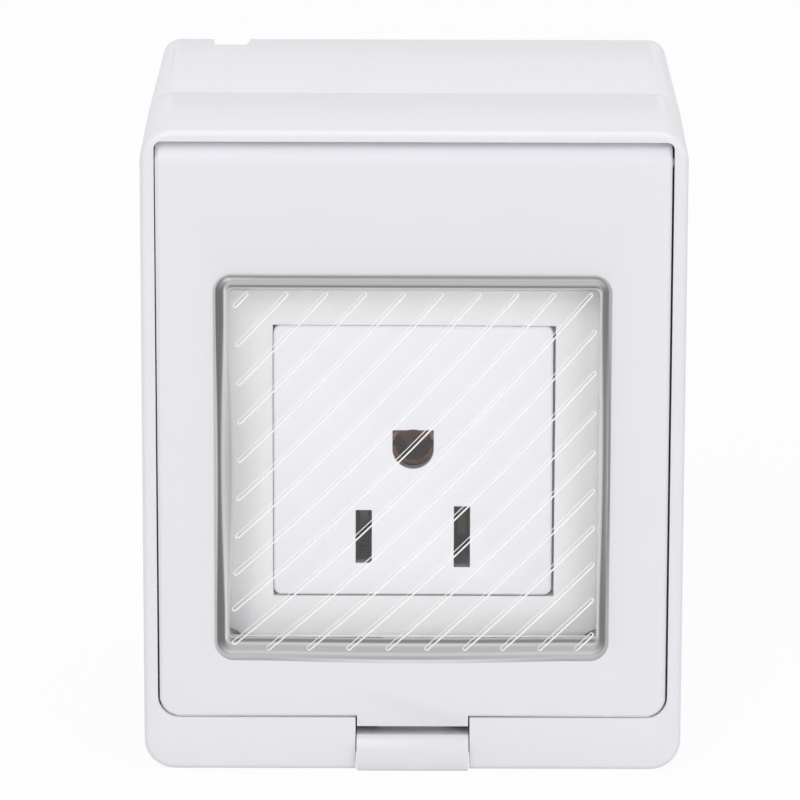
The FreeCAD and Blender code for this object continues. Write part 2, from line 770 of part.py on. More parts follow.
def is_front_edge_of_lid(box):
    """The edges round the lid's front face and over its rolled top, on both sides."""
    on_side = at(abs(box.XMin), lid_x) and at(abs(box.XMax), lid_x) and box.XLength < 0.01
    behind = at(box.YMin, f"-{lid_back}") or at(box.ZMin, lid_low)
    in_front = at(-box.YMin, box_depth) and at(-box.YMax, box_depth)
    front_low = in_front and box.ZMin < number(window_mid)
    return (on_side and not behind and not at(-box.YMax, lid_back)) or front_low


def make_window_membrane():
    body = new_body("window_membrane")
    lip = front_sketch(body, box_depth)
    add_square(lip, lip_side, "lip_corner")
    pad(body, lip, "lip_height")
    chamfer(
        body,
        "lip_chamfer",
        lambda box: at(-box.YMin, f"{box_depth} + lip_height") and box.YLength < 0.01,
    )
    neck = front_sketch(body, flange_inner_back)
    add_square(neck, f"{window_side} - 2 * seat_gap", "window_corner")
    pad(body, neck, f"{box_depth} - {flange_inner_back} + overlap")
    flange = front_sketch(body, flange_inner_back)
    add_square(flange, f"{window_side} + 2 * flange_over", "window_corner + flange_over")
    pad(body, flange, "flange_thick")
    dish = front_sketch(body, f"{box_depth} + lip_height")
    add_square(dish, pane_side, "lip_corner - lip_width")
    pocket(body, dish, "pane_sink")
    behind = front_sketch(body, flange_inner_back)
    add_square(behind, neck_inside, "neck_corner")
    pocket(body, behind, f"{pane_back} - {flange_inner_back}", backwards=True)
    return body


def make_ridges(body):
    """Slanting ridges on the pane, from lower left to upper right, each with blunted ends."""
    reach = number(pane_side) / 2 - number("ridge_margin") - number("ridge_width") / 2
    pitch = number("ridge_pitch")
    slope = math.tan(math.radians(number("ridge_slope")))
    middle = number(window_mid)
    face = number(pane_front) - number("ridge_height") / 2
    widest = math.floor(reach * (1 + slope) / pitch)
    solid = body.Shape.copy()
    for step in range(-widest, widest + 1):
        offset = step * pitch + number("ridge_shift")
        low = max(-reach, (-reach - offset) / slope)
        high = min(reach, (reach - offset) / slope)
        if high - low > pitch / 4:
            start = FreeCAD.Vector(low, -face, middle + low * slope + offset)
            end = FreeCAD.Vector(high, -face, middle + high * slope + offset)
            height = 1.5 * number("ridge_height")
            solid = solid.fuse(blunt_bar(start, end, number("ridge_width") / 2, height))
    return solid.removeSplitter()


def blunt_bar(start, end, radius, height):
    """A low bar with blunted ends between two points of a plane of constant Y, towards the front."""
    along = (end - start).normalize() * radius
    across = FreeCAD.Vector(-along.z, 0, along.x)
    corners = [
        start + across,
        end + across,
        end + along + across / 3,
        end + along - across / 3,
        end - across,
        start - across,
        start - along - across / 3,
        start - along + across / 3,
        start + across,
    ]
    return Part.Face(Part.makePolygon(corners)).extrude(FreeCAD.Vector(0, -height, 0))


def make_membrane_clamp():
    body = new_body("membrane_clamp")
    frame = front_sketch(body, f"{flange_inner_back} - clamp_thick")
    add_square(frame, clamp_side, "window_corner + flange_over")
    add_square(frame, neck_inside, "neck_corner")
    pad(body, frame, "clamp_thick")
    return body


def make_lid_gasket():
    body = new_body("lid_gasket")
    ring = front_sketch(body, f"{plateau_face} + seat_gap")
    add_rounded(ring, f"-{gasket_x}", gasket_x, gasket_low, gasket_top, "gasket_width + gasket_corner")
    add_rounded(
        ring,
        f"gasket_width - {gasket_x} - gasket_play",
        f"{gasket_x} - gasket_width + gasket_play",
        f"{gasket_low} + gasket_width - gasket_play",
        f"{gasket_top} - gasket_width + gasket_play",
        "gasket_corner",
    )
    pad(body, ring, f"{lid_inner} - {plateau_face} - seat_gap")
    return body


def make_hinge_pin(name, side):
    pin = doc.addObject("Part::Cylinder", name)
    inner = f"({lid_x} - lid_skirt_wall - hinge_boss_length)"
    length = f"({recess_x} + hinge_pin_entry - {inner})"
    bind(pin, "Radius", "hinge_pin_radius")
    bind(pin, "Height", length)
    bind(pin, "Placement.Base.x", inner if side > 0 else f"-{inner} - {length}")
    bind(pin, "Placement.Base.y", f"-{hinge_depth}")
    bind(pin, "Placement.Base.z", hinge_height)
    pin.Placement.Rotation = FreeCAD.Rotation(FreeCAD.Vector(0, 1, 0), 90)
    return pin


def make_latch_lever():
    body = new_body("latch_lever")
    roll = sketch_on(body, "YZ_Plane")
    roll_low = f"(latch_lift - {half_height})"
    roll_top = f"({roll_low} + latch_roll_height)"
    roll_back = f"({box_depth} + latch_roll_proud - latch_roll_thick)"
    roll_front = f"({box_depth} + latch_roll_proud)"
    add_outline(
        roll,
        [
            (f"-{roll_back}", roll_low),
            (f"-{roll_back}", roll_top),
            (f"latch_roll_brow - {roll_front}", roll_top),
            (f"latch_roll_nose - {roll_front}", f"{roll_low} + latch_roll_belly"),
            (f"latch_roll_chin - {roll_front}", roll_low),
        ],
        arcs={2: "latch_roll_radius", 3: "latch_roll_radius"},
    )
    pad(body, roll, "tab_width", both_ways=True)
    fillet(
        body,
        "latch_roll_corner",
        lambda box: at(box.ZMin, roll_low) and at(box.ZMax, roll_low) and box.XLength < 0.01,
    )
    arm = sketch_on(body, "YZ_Plane")
    arm_top = f"({pin_height} + latch_arm_thick / 2 - latch_arm_lift)"
    arm_low = f"({pin_height} - latch_arm_thick / 2 - latch_arm_lift)"
    add_rectangle(arm, f"-{roll_back} - overlap", f"-{pin_depth}", arm_low, arm_top)
    pad(body, arm, "tab_width", both_ways=True)
    hub = sketch_on(body, "YZ_Plane")
    add_circle(hub, f"-{pin_depth}", pin_height, "latch_hub_radius")
    pad(body, hub, "tab_width", both_ways=True)
    hook = sketch_on(body, "YZ_Plane")
    add_outline(
        hook,
        [
            (f"-{hook_back}", arm_low),
            (f"-{hook_back}", hook_top),
            (f"-{hook_back} - latch_hook_thick / 2", hook_top),
            (f"-{hook_front}", f"{hook_top} - latch_hook_thick / 2"),
            (f"-{hook_front}", arm_low),
        ],
    )
    pad(body, hook, "tooth_width", both_ways=True)
    room = sketch_on(body, "YZ_Plane")
    room_radius = "(spring_radius + spring_wire + spring_slack)"
    add_rectangle(
        room,
        f"-{pin_depth} - {room_radius}",
        f"latch_hub_radius + overlap - {pin_depth}",
        f"{pin_height} - latch_hub_radius - overlap",
        f"{pin_height} + latch_hub_radius + overlap",
    )
    pocket(body, room, "2 * spring_room", both_ways=True)
    bore = sketch_on(body, "YZ_Plane")
    add_circle(bore, f"-{pin_depth}", pin_height, "latch_pin_radius + running_gap")
    pocket(body, bore, "tab_width", both_ways=True)
    return body


def make_latch_pin():
    pin = doc.addObject("Part::Cylinder", "latch_pin")
    bind(pin, "Radius", "latch_pin_radius")
    bind(pin, "Height", f"2 * ({pocket_x} + cheek_wall)")
    bind(pin, "Placement.Base.x", f"-({pocket_x} + cheek_wall)")
    bind(pin, "Placement.Base.y", f"-{pin_depth}")
    bind(pin, "Placement.Base.z", pin_height)
    pin.Placement.Rotation = FreeCAD.Rotation(FreeCAD.Vector(0, 1, 0), 90)
    return pin


def make_latch_spring():
    """A torsion spring round the latch pin: one leg lifts the lever, the other bears on the floor."""
    coil = doc.addObject("Part::Helix", "latch_spring_line")
    bind(coil, "Pitch", "spring_pitch")
    bind(coil, "Height", "spring_pitch * spring_turns")
    bind(coil, "Radius", "spring_radius")
    wire = doc.addObject("Part::RegularPolygon", "latch_spring_wire")
    wire.Polygon = 4
    bind(wire, "Circumradius", "spring_wire")
    bind(wire, "Placement.Base.x", "spring_radius")
    wire.Placement.Rotation = FreeCAD.Rotation(FreeCAD.Vector(1, 0, 0), 90)
    turns = doc.addObject("Part::Sweep", "latch_spring_turns")
    turns.Sections = [wire]
    turns.Spine = (coil, ["Edge1"])
    turns.Solid = True
    turns.Frenet = True
    legs = [spring_leg("front", "0", 90), spring_leg("rear", "spring_pitch * spring_turns", -90)]
    spring = doc.addObject("Part::MultiFuse", "latch_spring")
    spring.Shapes = [turns, *legs]
    bind(spring, "Placement.Base.x", "-spring_pitch * spring_turns / 2")
    bind(spring, "Placement.Base.y", f"-{pin_depth}")
    bind(spring, "Placement.Base.z", pin_height)
    spring.Placement.Rotation = FreeCAD.Rotation(FreeCAD.Vector(0, 1, 0), 90)
    return spring


def spring_leg(name, place, turn):
    """A straight leg that leaves the coil along its tangent."""
    leg = doc.addObject("Part::Cylinder", f"latch_spring_{name}_leg")
    bind(leg, "Radius", "spring_wire")
    bind(leg, "Height", "spring_leg" if name == "front" else "spring_leg / 4")
    bind(leg, "Placement.Base.x", "spring_radius")
    bind(leg, "Placement.Base.z", place)
    leg.Placement.Rotation = FreeCAD.Rotation(FreeCAD.Vector(1, 0, 0), turn)
    return leg


def make_socket_face():
    body = new_body("socket_face")
    plate = front_sketch(body, f"{flange_front} - overlap")
    add_rounded(
        plate,
        f"{insert_x} - {insert_wide} / 2",
        f"{insert_x} + {insert_wide} / 2",
        f"{insert_mid} - {insert_tall} / 2",
        f"{insert_mid} + {insert_tall} / 2",
        "insert_corner",
    )
    pad(body, plate, f"{insert_face} - {flange_front} + overlap")
    chamfer(body, "insert_chamfer", lambda box: at(-box.YMin, insert_face) and box.YLength < 0.01)
    flange = front_sketch(body, flange_back)
    add_square(flange, flange_side, "insert_corner")
    pad(body, flange, "flange_depth")
    skirt = front_sketch(body, skirt_back)
    add_square(skirt, skirt_side, "insert_corner")
    pad(body, skirt, "skirt_depth + overlap")
    inside = front_sketch(body, skirt_back)
    add_square(inside, f"{skirt_side} - 2 * skirt_wall", "neck_corner")
    pocket(body, inside, f"{insert_face} - face_thick - {skirt_back}", backwards=True)
    slots = front_sketch(body, insert_face)
    add_slot(slots, "-", "short_slot")
    add_slot(slots, "", "long_slot")
    half = "ground_width / 2"
    flat = f"{ground_height_mid} + ground_height - {half}"
    add_outline(
        slots,
        [
            (f"{insert_x} - {half}", ground_height_mid),
            (f"{insert_x} + {half}", ground_height_mid),
            (f"{insert_x} + {half}", flat),
            (f"{insert_x} - {half}", flat),
        ],
    )
    pocket(body, slots, "face_thick")
    round_part = front_sketch(body, insert_face)
    add_circle(round_part, insert_x, ground_height_mid, half)
    pocket(body, round_part, "face_thick")
    return body


def add_slot(sketch, side, tall):
    middle = f"{insert_x} + {side}blade_spacing / 2"
    add_rectangle(
        sketch,
        f"{middle} - slot_width / 2",
        f"{middle} + slot_width / 2",
        f"{blade_height} - {tall} / 2",
        f"{blade_height} + {tall} / 2",
    )


# each pole of the socket: its place across, its height, and the way that its wire comes in
poles = {
    "live": (f"({insert_x} - blade_spacing / 2)", blade_height, -1),
    "neutral": (f"({insert_x} + blade_spacing / 2)", blade_height, -1),
    "ground": (insert_x, ground_height_mid, 1),
}


def make_socket_base():
    body = new_body("socket_base")
    block = front_sketch(body, base_back)
    add_square(block, skirt_side, "insert_corner")
    pad(body, block, "base_depth")
    spigot = front_sketch(body, skirt_back)
    add_square(spigot, f"{skirt_side} - 2 * skirt_wall - 2 * spigot_gap", "neck_corner - spigot_gap")
    pad(body, spigot, "spigot_depth")
    chambers = front_sketch(body, base_back)
    for x, z, _ in poles.values():
        wide = "(terminal_wide / 2 + terminal_gap)"
        tall = "(terminal_tall / 2 + terminal_gap)"
        add_rectangle(chambers, f"{x} - {wide}", f"{x} + {wide}", f"{z} - {tall}", f"{z} + {tall}")
    pocket(body, chambers, f"{terminal_front} - {base_back}", backwards=True)
    tails = front_sketch(body, spigot_front)
    for x, z, _ in poles.values():
        wide = "(tail_thick / 2 + tail_gap)"
        tall = "(tail_tall / 2 + tail_gap)"
        add_rectangle(tails, f"{x} - {wide}", f"{x} + {wide}", f"{z} - {tall}", f"{z} + {tall}")
    pocket(body, tails, f"{spigot_front} - {terminal_front}")
    low_wires = sketch_on(body, "XY_Plane", f"{window_mid} - {skirt_side} / 2")
    for name in ("live", "neutral"):
        add_circle(low_wires, poles[name][0], wire_depth_y(), "wire_radius")
    pocket(body, low_wires, f"{blade_height} - {window_mid} + {skirt_side} / 2", backwards=True)
    top_wire = sketch_on(body, "XY_Plane", f"{window_mid} + {skirt_side} / 2")
    add_circle(top_wire, poles["ground"][0], wire_depth_y(), "wire_radius")
    pocket(body, top_wire, f"{window_mid} + {skirt_side} / 2 - {ground_height_mid}")
    return body


def wire_depth_y():
    return f"-({terminal_front} - wire_radius - wire_cover)"


def make_terminal(name):
    """A brass clamp block with a hole for the wire and a threaded hole for its screw."""
    x, z, way = poles[name]
    body = new_body(f"{name}_terminal")
    block = front_sketch(body, terminal_back)
    wide = "terminal_wide / 2"
    tall = "terminal_tall / 2"
    add_rectangle(block, f"{x} - {wide}", f"{x} + {wide}", f"{z} - {tall}", f"{z} + {tall}")
    pad(body, block, "terminal_deep")
    wire = sketch_on(body, "XY_Plane", f"{z} + {way} * {tall}")
    add_circle(wire, x, wire_depth_y(), "wire_radius")
    pocket(body, wire, "terminal_tall - wire_cover", backwards=way < 0)
    screw = front_sketch(body, terminal_back)
    add_circle(screw, x, z, "clamp_screw_radius")
    pocket(body, screw, "clamp_screw_reach", backwards=True)
    return body


def make_blade_contact(name):
    """A brass fork: two sprung leaves that meet the blade, a foot, and a tail to the clamp block."""
    x, z, _ = poles[name]
    body = new_body(f"{name}_contact")
    fork = sketch_on(body, "XY_Plane", f"{z} - leaf_tall / 2")
    inner = "(leaf_gap / 2)"
    outer = f"({inner} + leaf_thick)"
    wide = f"({outer} + foot_over)"
    tip = contact_tip
    flare = f"({tip} - leaf_flare_length)"
    add_outline(
        fork,
        [
            (f"{x} - {wide}", f"-{spigot_front}"),
            (f"{x} - {wide}", f"-{foot_front}"),
            (f"{x} - {outer}", f"-{foot_front} - foot_over"),
            (f"{x} - {outer}", f"-{flare}"),
            (f"{x} - {outer} - leaf_flare", f"-{tip}"),
            (f"{x} - {inner} - leaf_flare", f"-{tip}"),
            (f"{x} - {inner}", f"-{flare}"),
            (f"{x} - {inner}", f"-{foot_front}"),
            (f"{x} + {inner}", f"-{foot_front}"),
            (f"{x} + {inner}", f"-{flare}"),
            (f"{x} + {inner} + leaf_flare", f"-{tip}"),
            (f"{x} + {outer} + leaf_flare", f"-{tip}"),
            (f"{x} + {outer}", f"-{flare}"),
            (f"{x} + {outer}", f"-{foot_front} - foot_over"),
            (f"{x} + {wide}", f"-{foot_front}"),
            (f"{x} + {wide}", f"-{spigot_front}"),
        ],
    )
    pad(body, fork, "leaf_tall")
    add_tail(body, x, z)
    return body


def add_tail(body, x, z):
    tail = front_sketch(body, terminal_front)
    wide = "tail_thick / 2"
    tall = "tail_tall / 2"
    add_rectangle(tail, f"{x} - {wide}", f"{x} + {wide}", f"{z} - {tall}", f"{z} + {tall}")
    pad(body, tail, f"{spigot_front} - {terminal_front} + overlap")


def make_ground_contact():
    """A copper sleeve for the round pin, slit along its sides, on a foot with a tail."""
    x, z, _ = poles["ground"]
    body = new_body("ground_contact")
    foot = front_sketch(body, spigot_front)
    add_circle(foot, x, z, "sleeve_radius + foot_over")
    pad(body, foot, "foot_thick")
    sleeve = front_sketch(body, f"{foot_front} - overlap")
    add_circle(sleeve, x, z, "sleeve_radius")
    add_circle(sleeve, x, z, "sleeve_radius - sleeve_wall")
    pad(body, sleeve, f"{contact_tip} - {foot_front} + overlap")
    slit = front_sketch(body, foot_front)
    reach = "(sleeve_radius + foot_over)"
    half_slit = "(slit_width / 2)"
    add_rectangle(slit, f"{x} - {reach}", f"{x} + {reach}", f"{z} - {half_slit}", f"{z} + {half_slit}")
    pocket(body, slit, f"{contact_tip} - {foot_front} + overlap", backwards=True)
    add_tail(body, x, z)
    return body


def make_bracket():
    """A steel plate that clamps the insert's flange against the back of the panel."""
    body = new_body("module_bracket")
    plate = front_sketch(body, bracket_back)
    wide = f"({bracket_screw_x} + bracket_edge)"
    tall = f"({flange_side} / 2 + bracket_over)"
    add_rounded(
        plate,
        f"-{wide}",
        wide,
        f"{window_mid} - {tall}",
        f"{window_mid} + {tall}",
        "bracket_corner",
    )
    add_square(plate, f"{skirt_side} + 2 * bracket_gap", "insert_corner + bracket_gap")
    for side in ("-", ""):
        add_circle(plate, side + bracket_screw_x, window_mid, "bracket_screw_radius + seat_gap")
    pad(body, plate, "bracket_thick")
    return body


def make_grommet():
    """A rubber grommet in the bottom wall, turned about its upright axis, with a hole for the cable."""
    body = new_body("cable_grommet")
    section = sketch_on(body, "XZ_Plane", entry_depth)
    seat = grommet_seat_height()
    collar = "(cable_radius + grommet_collar)"
    add_outline(
        section,
        [
            ("cable_radius", f"-{seat} - grommet_flange_thick"),
            ("entry_radius + grommet_flange", f"-{seat} - grommet_flange_thick"),
            ("entry_radius + grommet_flange", f"-{seat}"),
            ("entry_radius", f"-{seat}"),
            ("entry_radius", f"-{cavity_z}"),
            ("entry_radius + grommet_lip", f"-{cavity_z}"),
            ("entry_radius + grommet_lip / 2", f"grommet_lip_thick - {cavity_z}"),
            (collar, f"grommet_lip_thick - {cavity_z}"),
            (collar, f"grommet_collar_height - {cavity_z}"),
            ("cable_radius", f"grommet_collar_height - {cavity_z}"),
        ],
    )
    feature = body.newObject("PartDesign::Revolution", "cable_grommet_turned")
    feature.Profile = section
    feature.ReferenceAxis = (section, ["V_Axis"])
    feature.Angle = 360
    finish(body, feature, 1)
    return body


def make_screw(name, x, z, seat, radius, tip, head_radius, head_height, facing):
    """A pan-head screw along Y with a crossed drive. facing is 1 for a head at the front."""
    head = doc.addObject("Part::Cylinder", f"{name}_head")
    bind(head, "Radius", head_radius)
    bind(head, "Height", head_height)
    shank = doc.addObject("Part::Cylinder", f"{name}_shank")
    bind(shank, "Radius", radius)
    bind(shank, "Height", f"abs({seat} - {tip}) + overlap")
    bind(shank, "Placement.Base.z", f"-abs({seat} - {tip})")
    whole = doc.addObject("Part::MultiFuse", f"{name}_blank")
    whole.Shapes = [head, shank]
    drive = doc.addObject("Part::MultiFuse", f"{name}_drive")
    bars = []
    for index, (long, short) in enumerate((("Length", "Width"), ("Width", "Length"))):
        bar = doc.addObject("Part::Box", f"{name}_bar_{index}")
        bind(bar, long, "cross_length")
        bind(bar, short, "cross_width")
        bind(bar, "Height", "cross_depth + overlap")
        axis_long, axis_short = ("x", "y") if long == "Length" else ("y", "x")
        bind(bar, f"Placement.Base.{axis_long}", "-cross_length / 2")
        bind(bar, f"Placement.Base.{axis_short}", "-cross_width / 2")
        bind(bar, "Placement.Base.z", f"{head_height} - cross_depth")
        bars.append(bar)
    drive.Shapes = bars
    screw = doc.addObject("Part::Cut", name)
    screw.Base = whole
    screw.Tool = drive
    bind(screw, "Placement.Base.x", x)
    bind(screw, "Placement.Base.y", f"-{seat}")
    bind(screw, "Placement.Base.z", z)
    screw.Placement.Rotation = FreeCAD.Rotation(FreeCAD.Vector(1, 0, 0), 90 * facing)
    return screw


def group(name, members):
    """Like fasteners kept together as one node of separate solids."""
    compound = doc.addObject("Part::Compound", name)
    compound.Links = members
    return compound


def make_housing_screws():
    screws = [
        make_screw(
            f"housing_screw_{index}",
            x,
            z,
            screw_seat,
            "screw_radius",
            screw_tip,
            "screw_head_radius",
            "screw_head_height",
            1,
        )
        for index, (x, z) in enumerate(screw_places)
    ]
    return group("housing_screws", screws)


def make_terminal_screws():
    screws = [
        make_screw(
            f"terminal_screw_{name}",
            x,
            z,
            terminal_back,
            "clamp_screw_radius",
            f"({terminal_back} + clamp_screw_reach)",
            "clamp_screw_head",
            "clamp_screw_height",
            -1,
        )
        for name, (x, z, _) in poles.items()
    ]
    return group("terminal_screws", screws)


def make_bracket_screws():
    screws = [
        make_screw(
            f"bracket_screw_{name}",
            sign + bracket_screw_x,
            window_mid,
            bracket_back,
            "bracket_screw_radius",
            f"({panel_back} - overlap)",
            "bracket_screw_head",
            "bracket_screw_height",
            -1,
        )
        for name, sign in (("left", "-"), ("right", ""))
    ]
    return group("bracket_screws", screws)


def make_ribbed_membrane():
    base = make_window_membrane()
    base.Label = "window_membrane_pane"
    membrane = doc.addObject("Part::Feature", "window_membrane_ribbed")
    membrane.Shape = make_ridges(base)
    membrane.Label = "window_membrane"
    return membrane


nodes = [
    make_back_box(),
    make_housing_gasket(),
    make_front_housing(),
    make_housing_screws(),
    make_socket_face(),
    make_socket_base(),
    make_blade_contact("live"),
    make_blade_contact("neutral"),
    make_ground_contact(),
    make_terminal("live"),
    make_terminal("neutral"),
    make_terminal("ground"),
    make_terminal_screws(),
    make_bracket(),
    make_bracket_screws(),
    make_grommet(),
    make_lid(),
    make_ribbed_membrane(),
    make_membrane_clamp(),
    make_lid_gasket(),
    make_hinge_pin("hinge_pin_left", -1),
    make_hinge_pin("hinge_pin_right", 1),
    make_latch_lever(),
    make_latch_pin(),
    make_latch_spring(),
]
doc.recompute()

for item in doc.Objects:
    if "Invalid" in item.State or "Error" in item.State:
        raise RuntimeError(f"{item.Label} failed: {item.State}")
os.makedirs("parts", exist_ok=True)
for node in nodes:
    if node.Shape.isNull() or not node.Shape.isValid():
        raise RuntimeError(f"{node.Label} has no valid shape")
    node.Shape.exportStep(f"parts/{node.Label}.step")
    print(node.Label, len(node.Shape.Solids), round(node.Shape.Volume, 1))
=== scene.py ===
import math

import bmesh
import bpy
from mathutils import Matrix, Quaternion, Vector


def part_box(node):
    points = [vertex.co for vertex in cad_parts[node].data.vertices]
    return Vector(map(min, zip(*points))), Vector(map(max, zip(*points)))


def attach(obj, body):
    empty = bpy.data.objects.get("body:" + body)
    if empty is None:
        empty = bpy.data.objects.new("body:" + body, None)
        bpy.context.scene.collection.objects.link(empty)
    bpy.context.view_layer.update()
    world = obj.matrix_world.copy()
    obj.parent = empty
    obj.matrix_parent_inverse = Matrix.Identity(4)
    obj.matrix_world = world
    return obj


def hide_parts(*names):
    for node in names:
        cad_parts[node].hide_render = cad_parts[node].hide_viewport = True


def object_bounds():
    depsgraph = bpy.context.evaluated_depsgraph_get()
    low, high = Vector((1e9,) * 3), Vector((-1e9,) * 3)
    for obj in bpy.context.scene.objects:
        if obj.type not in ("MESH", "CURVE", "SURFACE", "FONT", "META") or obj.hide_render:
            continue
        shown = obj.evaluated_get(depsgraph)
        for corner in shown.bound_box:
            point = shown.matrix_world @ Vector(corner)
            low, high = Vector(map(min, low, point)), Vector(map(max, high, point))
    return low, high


# Outdoor power outlet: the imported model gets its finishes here, and its clear window gets its real form.
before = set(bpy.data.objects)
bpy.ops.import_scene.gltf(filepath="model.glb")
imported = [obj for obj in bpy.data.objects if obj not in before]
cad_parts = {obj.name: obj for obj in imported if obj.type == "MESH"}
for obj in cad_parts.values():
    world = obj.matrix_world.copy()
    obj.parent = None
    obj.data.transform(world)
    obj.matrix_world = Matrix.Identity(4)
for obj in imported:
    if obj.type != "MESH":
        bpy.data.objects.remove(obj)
cadLow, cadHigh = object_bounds()
scene = bpy.context.scene
mm = 0.001
print("frame loaded:", len(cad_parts), "nodes")


# camera, from the photograph: it looks down on the front from a long way off
cameraPlan = {
    "tilt": 18.0,
    "distance": 0.950,
    "lens": 333.5,
    "sensor": 36.0,
    "pictureSide": 800,
    "aimAcross": 413.3,
    "aimDown": 455.5,
    "roll": 0.17,
    "clip": (0.01, 50),
}


def makeCamera(plan):
    front = Vector((0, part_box("front_housing")[0].y, 0))
    tilt = math.radians(plan["tilt"])
    back = Vector((0, -math.cos(tilt), math.sin(tilt)))
    data = bpy.data.cameras.new("camera")
    data.lens = plan["lens"]
    data.sensor_width = plan["sensor"]
    half = plan["pictureSide"] / 2
    data.shift_x = (half - plan["aimAcross"]) / plan["pictureSide"]
    data.shift_y = (plan["aimDown"] - half) / plan["pictureSide"]
    data.clip_start, data.clip_end = plan["clip"]
    camera = bpy.data.objects.new("camera", data)
    camera.location = front + back * plan["distance"]
    camera.rotation_mode = "QUATERNION"
    roll = Quaternion((0, 0, 1), math.radians(plan["roll"]))
    camera.rotation_quaternion = (-back).to_track_quat("-Z", "Y") @ roll
    scene.collection.objects.link(camera)
    scene.camera = camera


makeCamera(cameraPlan)


# helpers for materials
def newMaterial(name):
    material = bpy.data.materials.new(name)
    material.use_nodes = True
    tree = material.node_tree
    tree.nodes.clear()
    output = tree.nodes.new("ShaderNodeOutputMaterial")
    shader = tree.nodes.new("ShaderNodeBsdfPrincipled")
    tree.links.new(shader.outputs[0], output.inputs["Surface"])
    return material, tree, shader, output


def addNode(tree, kind, **values):
    node = tree.nodes.new(kind)
    for name, value in values.items():
        setattr(node, name, value)
    return node


def addMath(tree, operation, first, second):
    node = addNode(tree, "ShaderNodeMath", operation=operation)
    for socket, value in zip(node.inputs, (first, second)):
        if isinstance(value, bpy.types.NodeSocket):
            tree.links.new(value, socket)
        else:
            socket.default_value = value
    return node.outputs[0]


def addNoise(tree, coordinates, size, detail=2.0, roughness=0.5):
    # blotches about size metres across
    noise = addNode(tree, "ShaderNodeTexNoise")
    noise.inputs["Scale"].default_value = 1 / size
    noise.inputs["Detail"].default_value = detail
    noise.inputs["Roughness"].default_value = roughness
    tree.links.new(coordinates, noise.inputs["Vector"])
    return noise.outputs["Fac"]


# the moulded skin that all the hard plastics share: fine eroded grain, faint flow marks, handling marks
mouldedMarks = {"flow": 14 * mm, "smudge": 5 * mm, "grain": 0.12 * mm, "ripple": 2.2 * mm}


def makeMouldedSkin(marks):
    group = bpy.data.node_groups.new("mouldedSkin", "ShaderNodeTree")
    for name, kind, value in (
        ("Colour", "NodeSocketColor", (0.8, 0.8, 0.8, 1)),
        ("Flow", "NodeSocketFloat", 0.015),
        ("Polish", "NodeSocketFloat", 0.4),
        ("Smudge", "NodeSocketFloat", 0.06),
        ("Grain", "NodeSocketFloat", 1.0),
    ):
        socket = group.interface.new_socket(name, in_out="INPUT", socket_type=kind)
        socket.default_value = value
    for name, kind in (
        ("Colour", "NodeSocketColor"),
        ("Roughness", "NodeSocketFloat"),
        ("Height", "NodeSocketFloat"),
    ):
        group.interface.new_socket(name, in_out="OUTPUT", socket_type=kind)
    given = group.nodes.new("NodeGroupInput")
    result = group.nodes.new("NodeGroupOutput")
    place = group.nodes.new("ShaderNodeTexCoord").outputs["Object"]
    flow = addNoise(group, place, marks["flow"], 3.0)
    smudge = addNoise(group, place, marks["smudge"], 4.0, 0.6)
    grain = addNoise(group, place, marks["grain"], 2.0)
    ripple = addNoise(group, place, marks["ripple"], 1.0)
    shade = addMath(group, "MULTIPLY", addMath(group, "SUBTRACT", flow, 0.5), given.outputs["Flow"])
    mix = addNode(group, "ShaderNodeMix", data_type="RGBA", blend_type="MULTIPLY")
    mix.inputs["Factor"].default_value = 1.0
    tone = addNode(group, "ShaderNodeCombineColor")
    light = addMath(group, "ADD", shade, 1.0)
    for channel in tone.inputs[:3]:
        group.links.new(light, channel)
    group.links.new(given.outputs["Colour"], mix.inputs["A"])
    group.links.new(tone.outputs[0], mix.inputs["B"])
    group.links.new(mix.outputs["Result"], result.inputs["Colour"])
    spread = addMath(group, "MULTIPLY", addMath(group, "SUBTRACT", smudge, 0.5), given.outputs["Smudge"])
    group.links.new(addMath(group, "ADD", given.outputs["Polish"], spread), result.inputs["Roughness"])
    fine = addMath(group, "MULTIPLY", grain, given.outputs["Grain"])
    group.links.new(addMath(group, "ADD", fine, ripple), result.inputs["Height"])
    return group


mouldedSkin = makeMouldedSkin(mouldedMarks)


def makePlastic(name, look):
    material, tree, shader, _ = newMaterial(name)
    skin = addNode(tree, "ShaderNodeGroup", node_tree=mouldedSkin)
    skin.inputs["Colour"].default_value = (*look["colour"], 1)
    skin.inputs["Flow"].default_value = look["flow"]
    skin.inputs["Polish"].default_value = look["roughness"]
    skin.inputs["Smudge"].default_value = look["smudge"]
    skin.inputs["Grain"].default_value = look["grain"]
    bump = addNode(tree, "ShaderNodeBump")
    bump.inputs["Strength"].default_value = look["bump"]
    bump.inputs["Distance"].default_value = look["relief"]
    tree.links.new(skin.outputs["Height"], bump.inputs["Height"])
    tree.links.new(skin.outputs["Colour"], shader.inputs["Base Color"])
    tree.links.new(skin.outputs["Roughness"], shader.inputs["Roughness"])
    tree.links.new(bump.outputs["Normal"], shader.inputs["Normal"])
    shader.inputs["IOR"].default_value = look["ior"]
    return material


